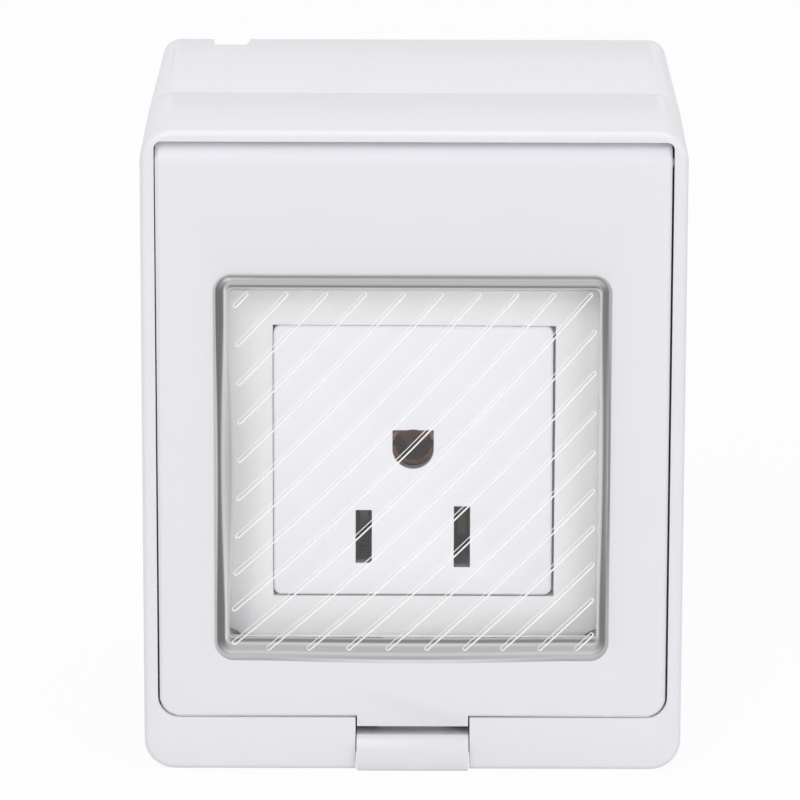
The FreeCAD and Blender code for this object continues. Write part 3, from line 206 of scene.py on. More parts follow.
plasticLooks = {
    "housingPlastic": {"colour": (0.79, 0.785, 0.825), "roughness": 0.38, "smudge": 0.08, "flow": 0.02,
                       "grain": 0.6, "bump": 0.25, "relief": 0.02 * mm, "ior": 1.5},
    "lidPlastic": {"colour": (0.79, 0.785, 0.825), "roughness": 0.36, "smudge": 0.06, "flow": 0.02,
                   "grain": 0.5, "bump": 0.22, "relief": 0.02 * mm, "ior": 1.5},
    "latchPlastic": {"colour": (0.77, 0.765, 0.80), "roughness": 0.32, "smudge": 0.06, "flow": 0.02,
                     "grain": 0.3, "bump": 0.2, "relief": 0.02 * mm, "ior": 1.5},
    "insertPlastic": {"colour": (0.88, 0.875, 0.92), "roughness": 0.22, "smudge": 0.05, "flow": 0.01,
                      "grain": 0.2, "bump": 0.15, "relief": 0.02 * mm, "ior": 1.52},
    # painted light: lighter than the shell to offset the shade that falls on the panel
    "panelPaintedLight": {"colour": (0.875, 0.87, 0.885), "roughness": 0.34, "smudge": 0.06, "flow": 0.02,
                     "grain": 0.5, "bump": 0.22, "relief": 0.02 * mm, "ior": 1.5},
    "basePlastic": {"colour": (0.14, 0.14, 0.16), "roughness": 0.55, "smudge": 0.1, "flow": 0.05,
                    "grain": 1.0, "bump": 0.4, "relief": 0.03 * mm, "ior": 1.48},
    # painted shade for the walls inside the slots
    "slotShade": {"colour": (0.24, 0.24, 0.28), "roughness": 0.6, "smudge": 0.1, "flow": 0.05,
                  "grain": 0.8, "bump": 0.3, "relief": 0.02 * mm, "ior": 1.45},
    "clampPlastic": {"colour": (0.88, 0.88, 0.90), "roughness": 0.45, "smudge": 0.08, "flow": 0.03,
                     "grain": 0.8, "bump": 0.3, "relief": 0.02 * mm, "ior": 1.48},
}
plastics = {name: makePlastic(name, look) for name, look in plasticLooks.items()}
print("plastics made:", len(plastics))


# metals share one worked surface: fine lines drawn out along Y, and tarnish in blotches
metalMarks = {
    "line": 0.1 * mm,
    "drawnOut": (1.0, 0.08, 1.0),
    "lineRoughness": 0.2,
    "blotch": 2.5 * mm,
    "tarnishRoughness": 0.3,
    "relief": 0.01 * mm,
}


def makeWorkedMetal(marks):
    group = bpy.data.node_groups.new("workedMetal", "ShaderNodeTree")
    for name, kind, value in (
        ("Colour", "NodeSocketColor", (0.6, 0.6, 0.6, 1)),
        ("Tarnish", "NodeSocketColor", (0.3, 0.25, 0.2, 1)),
        ("Tarnish Amount", "NodeSocketFloat", 0.3),
        ("Polish", "NodeSocketFloat", 0.3),
    ):
        socket = group.interface.new_socket(name, in_out="INPUT", socket_type=kind)
        socket.default_value = value
    for name, kind in (
        ("Colour", "NodeSocketColor"),
        ("Roughness", "NodeSocketFloat"),
        ("Height", "NodeSocketFloat"),
    ):
        group.interface.new_socket(name, in_out="OUTPUT", socket_type=kind)
    given = group.nodes.new("NodeGroupInput")
    result = group.nodes.new("NodeGroupOutput")
    place = group.nodes.new("ShaderNodeTexCoord").outputs["Object"]
    drawn = addNode(group, "ShaderNodeMapping")
    drawn.inputs["Scale"].default_value = marks["drawnOut"]
    group.links.new(place, drawn.inputs["Vector"])
    lines = addNoise(group, drawn.outputs[0], marks["line"], 3.0, 0.6)
    blotch = addNoise(group, place, marks["blotch"], 4.0, 0.6)
    cover = addMath(group, "MULTIPLY", blotch, given.outputs["Tarnish Amount"])
    mix = addNode(group, "ShaderNodeMix", data_type="RGBA")
    group.links.new(cover, mix.inputs["Factor"])
    group.links.new(given.outputs["Colour"], mix.inputs["A"])
    group.links.new(given.outputs["Tarnish"], mix.inputs["B"])
    group.links.new(mix.outputs["Result"], result.inputs["Colour"])
    spread = addMath(group, "MULTIPLY", addMath(group, "SUBTRACT", lines, 0.5), marks["lineRoughness"])
    rough = addMath(group, "ADD", given.outputs["Polish"], spread)
    rough = addMath(group, "ADD", rough, addMath(group, "MULTIPLY", cover, marks["tarnishRoughness"]))
    group.links.new(rough, result.inputs["Roughness"])
    group.links.new(lines, result.inputs["Height"])
    return group


workedMetal = makeWorkedMetal(metalMarks)


def makeMetal(name, look):
    material, tree, shader, _ = newMaterial(name)
    surface = addNode(tree, "ShaderNodeGroup", node_tree=workedMetal)
    surface.inputs["Colour"].default_value = (*look["colour"], 1)
    surface.inputs["Tarnish"].default_value = (*look["tarnish"], 1)
    surface.inputs["Tarnish Amount"].default_value = look["amount"]
    surface.inputs["Polish"].default_value = look["roughness"]
    bump = addNode(tree, "ShaderNodeBump")
    bump.inputs["Strength"].default_value = look["bump"]
    bump.inputs["Distance"].default_value = metalMarks["relief"]
    tree.links.new(surface.outputs["Height"], bump.inputs["Height"])
    tree.links.new(surface.outputs["Colour"], shader.inputs["Base Color"])
    tree.links.new(surface.outputs["Roughness"], shader.inputs["Roughness"])
    tree.links.new(bump.outputs["Normal"], shader.inputs["Normal"])
    shader.inputs["Metallic"].default_value = 1.0
    return material


metalLooks = {
    "contactBrass": {"colour": (0.35, 0.32, 0.27), "tarnish": (0.14, 0.135, 0.13), "amount": 0.8,
                     "roughness": 0.28, "bump": 0.2},
    "contactCopper": {"colour": (0.50, 0.26, 0.17), "tarnish": (0.12, 0.06, 0.045), "amount": 0.9,
                      "roughness": 0.34, "bump": 0.25},
    "platedSteel": {"colour": (0.64, 0.63, 0.60), "tarnish": (0.42, 0.41, 0.38), "amount": 0.6,
                    "roughness": 0.36, "bump": 0.3},
    "screwSteel": {"colour": (0.66, 0.65, 0.60), "tarnish": (0.40, 0.38, 0.32), "amount": 0.5,
                   "roughness": 0.30, "bump": 0.2},
    "pinSteel": {"colour": (0.60, 0.60, 0.60), "tarnish": (0.35, 0.35, 0.35), "amount": 0.3,
                 "roughness": 0.22, "bump": 0.15},
    "springSteel": {"colour": (0.46, 0.46, 0.47), "tarnish": (0.20, 0.19, 0.18), "amount": 0.4,
                    "roughness": 0.26, "bump": 0.15},
}
metals = {name: makeMetal(name, look) for name, look in metalLooks.items()}
print("metals made:", len(metals))


# soft rubber or foam: fine pores, and a pale bloom in patches
rubberMarks = {"bloom": 4 * mm, "bloomCover": 0.5, "bloomRoughness": 0.2, "relief": 0.03 * mm}


def makeRubber(name, look):
    material, tree, shader, _ = newMaterial(name)
    place = addNode(tree, "ShaderNodeTexCoord").outputs["Object"]
    pores = addNode(tree, "ShaderNodeTexVoronoi")
    pores.inputs["Scale"].default_value = 1 / look["pore"]
    tree.links.new(place, pores.inputs["Vector"])
    bloom = addNoise(tree, place, rubberMarks["bloom"], 4.0, 0.6)
    mix = addNode(tree, "ShaderNodeMix", data_type="RGBA")
    mix.inputs["A"].default_value = (*look["colour"], 1)
    mix.inputs["B"].default_value = (*look["bloom"], 1)
    tree.links.new(addMath(tree, "MULTIPLY", bloom, rubberMarks["bloomCover"]), mix.inputs["Factor"])
    tree.links.new(mix.outputs["Result"], shader.inputs["Base Color"])
    bump = addNode(tree, "ShaderNodeBump")
    bump.inputs["Strength"].default_value = look["bump"]
    bump.inputs["Distance"].default_value = rubberMarks["relief"]
    tree.links.new(pores.outputs["Distance"], bump.inputs["Height"])
    tree.links.new(bump.outputs["Normal"], shader.inputs["Normal"])
    spread = addMath(tree, "MULTIPLY", bloom, rubberMarks["bloomRoughness"])
    rough = addMath(tree, "ADD", spread, look["roughness"])
    tree.links.new(rough, shader.inputs["Roughness"])
    return material


rubberLooks = {
    "sealRubber": {"colour": (0.30, 0.30, 0.31), "bloom": (0.40, 0.40, 0.40), "pore": 0.25 * mm,
                   "bump": 0.6, "roughness": 0.65},
    "grommetRubber": {"colour": (0.24, 0.24, 0.25), "bloom": (0.34, 0.34, 0.34), "pore": 0.15 * mm,
                      "bump": 0.25, "roughness": 0.5},
}
rubbers = {name: makeRubber(name, look) for name, look in rubberLooks.items()}


# the clear, slightly warm window material: lamps pass through it, so what is behind stays lit
vinylLook = {
    "tint": (1.0, 1.0, 0.998),
    "roughness": 0.03,
    "ior": 1.47,
    "waviness": 0.15,
    "ripple": 6 * mm,
    "relief": 0.02 * mm,
}


def makeVinyl(name, look):
    material, tree, shader, output = newMaterial(name)
    place = addNode(tree, "ShaderNodeTexCoord").outputs["Object"]
    ripple = addNoise(tree, place, look["ripple"], 1.0)
    bump = addNode(tree, "ShaderNodeBump")
    bump.inputs["Strength"].default_value = look["waviness"]
    bump.inputs["Distance"].default_value = look["relief"]
    tree.links.new(ripple, bump.inputs["Height"])
    tree.links.new(bump.outputs["Normal"], shader.inputs["Normal"])
    shader.inputs["Base Color"].default_value = (*look["tint"], 1)
    shader.inputs["Roughness"].default_value = look["roughness"]
    shader.inputs["IOR"].default_value = look["ior"]
    shader.inputs["Transmission Weight"].default_value = 1.0
    clear = addNode(tree, "ShaderNodeBsdfTransparent")
    clear.inputs["Color"].default_value = (*look["tint"], 1)
    path = addNode(tree, "ShaderNodeLightPath")
    mix = addNode(tree, "ShaderNodeMixShader")
    passing = addMath(tree, "MAXIMUM", path.outputs["Is Shadow Ray"], path.outputs["Is Diffuse Ray"])
    tree.links.new(passing, mix.inputs[0])
    tree.links.new(shader.outputs[0], mix.inputs[1])
    tree.links.new(clear.outputs[0], mix.inputs[2])
    tree.links.new(mix.outputs[0], output.inputs["Surface"])
    return material


clearVinyl = makeVinyl("clearVinyl", vinylLook)


# the same vinyl where it is thick: its bead carries light and dark bands, kept on the mesh as "shade":
# painted shade and painted refraction of the dark gaps behind it
beadLook = {
    "warm": (1.0, 0.985, 0.98),
    "cool": (0.98, 0.975, 1.0),
    "mottle": 1.6 * mm,
    "roughness": 0.16,
    "coat": 0.3,
    "coatRoughness": 0.05,
    "waviness": 0.3,
    "ripple": 3 * mm,
    "relief": 0.03 * mm,
}


def makeBead(name, look):
    material, tree, shader, _ = newMaterial(name)
    place = addNode(tree, "ShaderNodeTexCoord").outputs["Object"]
    # painted shade and painted refraction: the bands that the bead's rings carry
    bands = addNode(tree, "ShaderNodeVertexColor", layer_name="shade")
    mottle = addNoise(tree, place, look["mottle"], 3.0)
    tone = addNode(tree, "ShaderNodeMix", data_type="RGBA")
    tone.inputs["A"].default_value = (*look["warm"], 1)
    tone.inputs["B"].default_value = (*look["cool"], 1)
    tree.links.new(mottle, tone.inputs["Factor"])
    colour = addNode(tree, "ShaderNodeMix", data_type="RGBA", blend_type="MULTIPLY")
    colour.inputs["Factor"].default_value = 1.0
    tree.links.new(bands.outputs["Color"], colour.inputs["A"])
    tree.links.new(tone.outputs["Result"], colour.inputs["B"])
    tree.links.new(colour.outputs["Result"], shader.inputs["Base Color"])
    bump = addNode(tree, "ShaderNodeBump")
    bump.inputs["Strength"].default_value = look["waviness"]
    bump.inputs["Distance"].default_value = look["relief"]
    tree.links.new(addNoise(tree, place, look["ripple"], 1.0), bump.inputs["Height"])
    tree.links.new(bump.outputs["Normal"], shader.inputs["Normal"])
    shader.inputs["Roughness"].default_value = look["roughness"]
    shader.inputs["Coat Weight"].default_value = look["coat"]
    shader.inputs["Coat Roughness"].default_value = look["coatRoughness"]
    return material


beadVinyl = makeBead("beadVinyl", beadLook)


# the ridges' flanks: painted nearly white as a painted highlight, with a faint painted glow for the light
# that they catch
ridgeHighlightLook = {
    "colour": (0.96, 0.96, 0.97),
    "shaded": 0.94,
    "mottle": 0.8 * mm,
    "roughness": 0.3,
    "roughnessSpread": 0.2,
    "glow": 0.06,
}


def makeRidgeHighlight(name, look):
    material, tree, shader, _ = newMaterial(name)
    place = addNode(tree, "ShaderNodeTexCoord").outputs["Object"]
    mottle = addNoise(tree, place, look["mottle"], 2.0)
    mix = addNode(tree, "ShaderNodeMix", data_type="RGBA")
    mix.inputs["A"].default_value = (*[look["shaded"] * part for part in look["colour"]], 1)
    mix.inputs["B"].default_value = (*look["colour"], 1)
    tree.links.new(mottle, mix.inputs["Factor"])
    tree.links.new(mix.outputs["Result"], shader.inputs["Base Color"])
    spread = addMath(tree, "MULTIPLY", mottle, look["roughnessSpread"])
    rough = addMath(tree, "ADD", spread, look["roughness"])
    tree.links.new(rough, shader.inputs["Roughness"])
    # painted glow: the ridges give off a little light of their own
    shader.inputs["Emission Color"].default_value = (1, 1, 1, 1)
    shader.inputs["Emission Strength"].default_value = look["glow"]
    return material


ridgePaintedHighlight = makeRidgeHighlight("ridgePaintedHighlight", ridgeHighlightLook)
print("clear window materials made")


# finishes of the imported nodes, also of those that a piece made below stands in for
nodeFinishes = {
    "back_box": plastics["housingPlastic"],
    "front_housing": plastics["housingPlastic"],
    "lid": plastics["lidPlastic"],
    "latch_lever": plastics["latchPlastic"],
    "socket_face": plastics["insertPlastic"],
    "socket_base": plastics["basePlastic"],
    "membrane_clamp": plastics["clampPlastic"],
    "housing_gasket": rubbers["sealRubber"],
    "lid_gasket": rubbers["sealRubber"],
    "cable_grommet": rubbers["grommetRubber"],
    "live_contact": metals["contactBrass"],
    "neutral_contact": metals["contactBrass"],
    "live_terminal": metals["contactBrass"],
    "neutral_terminal": metals["contactBrass"],
    "ground_terminal": metals["contactBrass"],
    "ground_contact": metals["contactCopper"],
    "module_bracket": metals["platedSteel"],
    "housing_screws": metals["screwSteel"],
    "terminal_screws": metals["screwSteel"],
    "bracket_screws": metals["screwSteel"],
    "hinge_pin_left": metals["pinSteel"],
    "hinge_pin_right": metals["pinSteel"],
    "latch_pin": metals["pinSteel"],
    "latch_spring": metals["springSteel"],
    "window_membrane": clearVinyl,
}
for node, material in nodeFinishes.items():
    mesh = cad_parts[node].data
    mesh.materials.clear()
    mesh.materials.append(material)
print("nodes finished:", len(nodeFinishes))


# the pieces made here: first, copies of nodes, joined and with softened edges
copyPlan = {
    "joinWithin": 0.0005 * mm,
    "flatWithin": math.radians(0.4),
    "bevelSegments": 2,
    "bevelAbove": math.radians(40),
    "smoothBelow": 32,
    "openingSlack": 0.01 * mm,
}


def mergedCopy(name, node):
    # a copy of a node's loose triangles, joined, with its flat areas made whole again
    form = bmesh.new()
    form.from_mesh(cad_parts[node].data)
    bmesh.ops.remove_doubles(form, verts=form.verts, dist=copyPlan["joinWithin"])
    bmesh.ops.dissolve_limit(form, angle_limit=copyPlan["flatWithin"], verts=form.verts, edges=form.edges)
    mesh = bpy.data.meshes.new(name)
    form.to_mesh(mesh)
    form.free()
    piece = bpy.data.objects.new(name, mesh)
    scene.collection.objects.link(piece)
    return piece


def bakeModifiers(piece):
    # the evaluated shape becomes the piece's own mesh, and no modifier is left on it
    graph = bpy.context.evaluated_depsgraph_get()
    mesh = bpy.data.meshes.new_from_object(piece.evaluated_get(graph), depsgraph=graph)
    piece.modifiers.clear()
    piece.data = mesh


def softenEdges(piece, width):
    bevel = piece.modifiers.new("edgeRound", "BEVEL")
    bevel.width = width
    bevel.segments = copyPlan["bevelSegments"]
    bevel.limit_method = "ANGLE"
    bevel.angle_limit = copyPlan["bevelAbove"]
    bakeModifiers(piece)
    smoothFaces(piece, copyPlan["smoothBelow"])


def smoothFaces(piece, angle):
    for face in piece.data.polygons:
        face.use_smooth = True
    piece.data.set_sharp_from_angle(angle=math.radians(angle))


def settle(piece, body, node, slot, *materials):
    # the piece takes a node's place on its body
    for material in materials:
        piece.data.materials.append(material)
    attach(piece, body)
    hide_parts(node)


def widenOpening(piece, middle, reach, wider):
    # moves the edge of a square opening outwards, evenly from its middle
    scale = wider / reach
    for vertex in piece.data.vertices:
        across, up = vertex.co.x, vertex.co.z - middle
        if max(abs(across), abs(up)) < reach + copyPlan["openingSlack"]:
            vertex.co.x = across * scale
            vertex.co.z = middle + up * scale


# the pieces whose moulded edges are seen: node, bevel width, body, slot and finish
softPlan = {
    "backShell": ("back_box", 0.22 * mm, "housing", "housing_white", "housingPlastic"),
    "frontShell": ("front_housing", 0.12 * mm, "housing", "housing_white", "housingPlastic"),
    "lidPanel": ("lid", 0.15 * mm, "lid", "lid_white", "lidPlastic"),
    "latchRoll": ("latch_lever", 0.15 * mm, "latch", "latch_white", "latchPlastic"),
    "socketInsert": ("socket_face", 0.08 * mm, "housing", "insert_white", "insertPlastic"),
    "clampFrame": ("membrane_clamp", 0.1 * mm, "lid", "clamp_plastic", "clampPlastic"),
}
windowMiddle = -1.75 * mm
# half widths of the window's opening: as packed, and as it is seen
openings = {"lid": (23.5 * mm, 24.3 * mm), "membrane_clamp": (22.5 * mm, 23.7 * mm)}


# the lid sits nearer to the rim at the left and below than at the right, and its tab ends a little higher
lidFit = {
    "side": 32.6 * mm,
    "left": 0.19 * mm,
    "leftTaper": 0.0035,
    "right": 0.05 * mm,
    "lowEdge": -35.65 * mm,
    "low": 0.12 * mm,
    "tabHalf": 7.3 * mm,
    "tabEdge": -37.05 * mm,
    "tabLift": 0.13 * mm,
    "near": 0.1 * mm,
}


def closeGaps(piece, fit):
    for vertex in piece.data.vertices:
        place = vertex.co
        if place.x < -fit["side"]:
            place.x -= fit["left"] + min(place.z, 0) * fit["leftTaper"]
        if place.x > fit["side"]:
            place.x += fit["right"]
        if abs(place.z - fit["lowEdge"]) < fit["near"] and abs(place.x) > fit["tabHalf"]:
            place.z -= fit["low"]
        if abs(place.z - fit["tabEdge"]) < fit["near"]:
            place.z += fit["tabLift"]


# the latch's roll fills its notch, and its lower corners are nearly square
rollFit = {
    "side": 7.2 * mm,
    "wider": 7.27 * mm,
    "packedCorner": 1.21 * mm,
    "corner": 0.35 * mm,
    "slack": 0.01 * mm,
    "rollFrom": -44 * mm,
}


def squareRoll(piece, fit):
    side, corner = fit["side"], fit["corner"]
    lowest = min(vertex.co.z for vertex in piece.data.vertices)
    for vertex in piece.data.vertices:
        across = abs(vertex.co.x)
        below = lowest + corner - vertex.co.z
        if across > side - fit["packedCorner"] and vertex.co.z < lowest + fit["packedCorner"]:
            across = side
            if below > 0:
                across = side - corner + math.sqrt(max(corner ** 2 - below ** 2, 0))
        if across > side - corner - fit["slack"] and vertex.co.y < fit["rollFrom"]:
            across += fit["wider"] - side
        vertex.co.x = math.copysign(across, vertex.co.x)


# the insert sits nearer to the panel's opening above and at the left
insertFit = {"front": -46 * mm, "reach": 15.5 * mm, "up": 0.05 * mm, "left": 0.04 * mm}


def fillPanelGap(piece, fit):
    for vertex in piece.data.vertices:
        if vertex.co.y < fit["front"]:
            if vertex.co.z - windowMiddle > fit["reach"]:
                vertex.co.z += fit["up"]
            if vertex.co.x < -fit["reach"]:
                vertex.co.x -= fit["left"]


# the rear shell's sides lean in a little less towards the wall
backFit = {"sides": 25 * mm, "lean": 0.25 * mm}


def widenBack(piece, fit):
    deep = max(-vertex.co.y for vertex in piece.data.vertices)
    for vertex in piece.data.vertices:
        if abs(vertex.co.x) > fit["sides"]:
            lean = fit["lean"] * (1 + vertex.co.y / deep)
            vertex.co.x += math.copysign(lean, vertex.co.x)


# the walls inside the blade slots and behind the ground hole's edge get painted shade: a dull dark finish
# in place of the shade that falls inside them
slotWalls = {"from": 0.3 * mm, "to": 1.7 * mm, "across": 8.5 * mm, "up": 16 * mm, "tilt": 0.6}


def paintSlotShade(piece, walls, material):
    piece.data.materials.append(material)
    face = min(vertex.co.y for vertex in piece.data.vertices)
    for polygon in piece.data.polygons:
        middle = polygon.center
        deep = face + walls["from"] < middle.y < face + walls["to"]
        near = abs(middle.x) < walls["across"] and abs(middle.z - windowMiddle) < walls["up"]
        if deep and near and abs(polygon.normal.y) < walls["tilt"]:
            polygon.material_index = 1


# the raised panel round the insert is painted lighter than the shell: painted light that makes up for the
# shade the lid's rim casts on it
panelFront = {"reach": 30 * mm, "from": -49 * mm, "to": -47 * mm, "facing": -0.5}


def paintPanelLight(piece, front, material):
    piece.data.materials.append(material)
    for polygon in piece.data.polygons:
        middle = polygon.center
        near = max(abs(middle.x), abs(middle.z - windowMiddle)) < front["reach"]
        if near and front["from"] < middle.y < front["to"] and polygon.normal.y < front["facing"]:
            polygon.material_index = 1


refits = {
    "lid": (closeGaps, lidFit),
    "latch_lever": (squareRoll, rollFit),
    "socket_face": (fillPanelGap, insertFit),
    "back_box": (widenBack, backFit),
}
for name, (node, width, body, slot, finish) in softPlan.items():
    piece = mergedCopy(name, node)
    if node in openings:
        widenOpening(piece, windowMiddle, *openings[node])
    if node in refits:
        refit, fit = refits[node]
        refit(piece, fit)
    softenEdges(piece, width)
    settle(piece, body, node, slot, plastics[finish])
    # the slot walls take painted shade
    if node == "socket_face":
        paintSlotShade(piece, slotWalls, plastics["slotShade"])
    # the panel's front takes painted light
    if node == "front_housing":
        paintPanelLight(piece, panelFront, plastics["panelPaintedLight"])
    print("edges softened:", name, len(piece.data.polygons), "faces")


# the window, in millimetres: a clear pane in a bead, on a neck with an inner flange. Each side of the bead
# lists its rings from the outer edge inwards: how far each stands out, how far in it lies at the corners
# and in the middle, and how light it is painted there, as painted shade and painted refraction
windowPlan = {
    "left": -25.6, "right": 25.3, "low": -27.9, "high": 24.25,
    "corner": 2.5,
    "innerCorner": 0.8,
    "lowerEdgeBow": 0.4,
    "topBead": {
        "heights": (0.0, 0.14, 0.30, 0.42, 0.56, 0.66, 0.68, 0.56, 0.44, 0.37, 0.35),
        "atCorner": (0.0, 0.10, 0.20, 0.34, 0.60, 0.78, 0.90, 1.28, 1.46, 1.62, 1.82),
        "inMiddle": (0.0, 0.10, 0.20, 0.34, 0.60, 0.78, 0.90, 1.28, 1.46, 1.62, 1.82),
        "cornerShade": (0.70, 0.50, 0.22, 0.25, 0.50, 0.40, 0.50, 0.45, 0.20, 0.20, 0.60),
        "middleShade": (0.70, 0.50, 0.22, 0.25, 0.50, 0.40, 0.50, 0.45, 0.20, 0.20, 0.60),
    },
    "leftBead": {
        "heights": (0.0, 0.14, 0.30, 0.42, 0.56, 0.66, 0.68, 0.56, 0.44, 0.37, 0.35),
        "atCorner": (0.0, 0.12, 0.28, 0.40, 0.70, 1.00, 1.30, 1.45, 1.58, 1.72, 1.90),
        "inMiddle": (0.0, 0.15, 0.42, 0.60, 0.70, 0.84, 0.96, 1.15, 1.60, 2.20, 2.60),
        "cornerShade": (0.65, 0.50, 0.50, 0.12, 0.12, 0.12, 0.15, 0.65, 0.75, 0.50, 0.65),
        "middleShade": (0.70, 0.50, 0.60, 0.15, 0.12, 0.15, 0.30, 0.60, 0.50, 0.40, 0.60),
    },
    "rightBead": {
        "heights": (0.0, 0.14, 0.30, 0.42, 0.56, 0.66, 0.68, 0.56, 0.44, 0.37, 0.35),
        "atCorner": (0.0, 0.18, 0.40, 0.52, 0.64, 0.82, 1.00, 1.20, 1.32, 1.42, 1.55),
        "inMiddle": (0.0, 0.12, 0.26, 0.36, 0.48, 0.60, 0.78, 0.92, 1.08, 1.22, 1.50),
        "cornerShade": (0.50, 0.40, 0.40, 0.15, 0.15, 0.15, 0.15, 0.20, 0.55, 0.60, 0.65),
        "middleShade": (0.45, 0.25, 0.20, 0.45, 0.35, 0.25, 0.20, 0.20, 0.55, 0.65, 0.65),
    },
    "lowBead": {
        "heights": (0.0, 0.16, 0.30, 0.40, 0.44, 0.42, 0.38, 0.36, 0.35, 0.35, 0.35),
        "atCorner": (0.0, 0.40, 0.65, 0.95, 1.30, 1.62, 2.10, 2.50, 2.76, 3.05, 3.30),
        "inMiddle": (0.0, 0.45, 0.78, 1.05, 1.40, 1.75, 2.30, 2.75, 3.02, 3.32, 3.58),
        "cornerShade": (0.35, 0.50, 0.55, 0.50, 0.60, 0.45, 0.45, 0.60, 0.20, 0.20, 0.60),
        "middleShade": (0.75, 0.75, 0.38, 0.45, 0.60, 0.45, 0.45, 0.65, 0.20, 0.20, 0.60),
    },
    "middleReach": 0.85,
    "middleFade": 1.5,
    "runSteps": 12,
    "cornerSteps": 8,
    "face": 52.0,
    "paneProud": 0.35,
    "paneThick": 1.0,
    "neckOut": 24.2,
    "neckOutCorner": 1.5,
    "neckIn": 23.7,
    "neckInCorner": 0.8,
    "flangeOut": 25.2,
    "flangeCorner": 2.2,
    "flangeFront": 50.0,
    "flangeBack": 49.4,
    "neckEnd": 0.02,
    "beadSeat": 0.01,
    "plainShade": 0.8,
    "smoothBelow": 50,
}


def roundedLoop(plan, left, right, low, high, corner):
    # points round a rounded rectangle, each with the angle that it faces and how near it is to its side's
    # middle
    runs = (
        ((right, low + corner), (right, high - corner), 0),
        ((right - corner, high), (left + corner, high), 90),
        ((left, high - corner), (left, low + corner), 180),
        ((left + corner, low), (right - corner, low), 270),
    )
    centres = ((right - corner, high - corner), (left + corner, high - corner),
               (left + corner, low + corner), (right - corner, low + corner))
    points = []
    for (start, end, turn), centre in zip(runs, centres):
        for step in range(plan["runSteps"]):
            share = step / plan["runSteps"]
            along = 2 * share - 1
            near = max(0.0, 1 - (along / plan["middleReach"]) ** 2) ** plan["middleFade"]
            place = [a + (b - a) * share for a, b in zip(start, end)]
            points.append((place, turn, near))
        for step in range(plan["cornerSteps"]):
            angle = turn + 90 * step / plan["cornerSteps"]
            place = [centre[0] + corner * math.cos(math.radians(angle)),
                     centre[1] + corner * math.sin(math.radians(angle))]
            points.append((place, angle, 0.0))
    return points


def beadRing(plan, number):
    # one ring of the bead: its points, how light each is painted, as painted shade and painted refraction,
    # and how far it stands out
    sides = {"right": plan["rightBead"], "top": plan["topBead"],
             "left": plan["leftBead"], "low": plan["lowBead"]}
    inset = {side: values["atCorner"][number] for side, values in sides.items()}
    corner = max(plan["corner"] - sum(inset.values()) / 4, plan["innerCorner"])
    loop = roundedLoop(plan, plan["left"] + inset["left"], plan["right"] - inset["right"],
                       plan["low"] + inset["low"], plan["high"] - inset["top"], corner)
    ring = []
    for (across, up), angle, near in loop:
        outX, outZ = math.cos(math.radians(angle)), math.sin(math.radians(angle))
        weights = {"right": max(outX, 0) ** 2, "left": min(outX, 0) ** 2,
                   "top": max(outZ, 0) ** 2, "low": min(outZ, 0) ** 2}
        light, high = 0.0, 0.0
        for side, weight in weights.items():
            values = sides[side]
            high += weight * values["heights"][number]
            cornerLight, middleLight = values["cornerShade"][number], values["middleShade"][number]
            light += weight * ((1 - near) * cornerLight + near * middleLight)
            inwards = weight * near * (values["inMiddle"][number] - values["atCorner"][number])
            across -= outX * inwards
            up -= outZ * inwards
        up -= plan["lowerEdgeBow"] * near * weights["low"]
        ring.append((across, up, light, high))
    return ring


def makeWindow(plan):
    form = bmesh.new()
    shade = form.verts.layers.float_color.new("shade")
    rings = []
    middle = windowMiddle / mm

    def addRing(points, depth):
        ring = []
        for across, up, light, high in points:
            vertex = form.verts.new((across * mm, -(depth + high) * mm, up * mm))
            vertex[shade] = (light, light, light, 1)
            ring.append(vertex)
        rings.append(ring)

    def addSquare(reach, corner, depth):
        loop = roundedLoop(plan, -reach, reach, middle - reach, middle + reach, corner)
        addRing([(across, up, plan["plainShade"], 0.0) for (across, up), _, _ in loop], depth)

    paneFront = plan["face"] + plan["paneProud"]
    addSquare(plan["neckIn"], plan["neckInCorner"], paneFront - plan["paneThick"])
    addSquare(plan["neckIn"], plan["neckInCorner"], plan["flangeBack"])
    addSquare(plan["flangeOut"], plan["flangeCorner"], plan["flangeBack"])
    addSquare(plan["flangeOut"], plan["flangeCorner"], plan["flangeFront"])
    addSquare(plan["neckOut"], plan["neckOutCorner"], plan["flangeFront"])
    addSquare(plan["neckOut"], plan["neckOutCorner"], plan["face"] + plan["neckEnd"])
    beadStart = len(rings)
    for number in range(len(plan["topBead"]["heights"])):
        addRing(beadRing(plan, number), plan["face"] + plan["beadSeat"])
    count = len(rings[0])
    for number, (inner, outer) in enumerate(zip(rings, rings[1:])):
        for corner in range(count):
            after = (corner + 1) % count
            face = form.faces.new((inner[corner], inner[after], outer[after], outer[corner]))
            face.material_index = 1 if number >= beadStart else 0
    form.faces.new(rings[0])
    form.faces.new(rings[-1])
    bmesh.ops.recalc_face_normals(form, faces=form.faces)
    mesh = bpy.data.meshes.new("clearWindow")
    form.to_mesh(mesh)
    form.free()
    piece = bpy.data.objects.new("clearWindow", mesh)
    scene.collection.objects.link(piece)
    smoothFaces(piece, plan["smoothBelow"])
    return piece


clearWindow = makeWindow(windowPlan)
settle(clearWindow, "lid", "window_membrane", "clear_membrane", clearVinyl, beadVinyl)
print("window made:", len(clearWindow.data.polygons), "faces")


# the window's slanting ridges: closed loops that run up to the right, each bent a little and steeper than
# the one below it, and cut off at the pane's edge
ridgePlan = {
    "Lines": 19,
    "Start": -44.955 * mm,
    "First Gap": 4.089 * mm,
    "Growth": 0.0555 * mm,
    "First Slope": 0.81,
    "Slope Growth": 0.0248,
    "Bend": 0.004 / mm,
    "Loop Width": 0.50 * mm,
    "Lower Line": 0.10 * mm,
    "Upper Line": 0.05 * mm,
    "Left": -23.4 * mm,
    "Left Bulge": 0.8 * mm,
    "Right": 23.4 * mm,
    "Low": -26.4 * mm,
    "High": 22.0 * mm,
    "Depth": -52.36 * mm,
}
ridgeDetail = {"loopPoints": 14, "cuts": 8, "sectionPoints": 8, "shortest": 0.5 * mm}


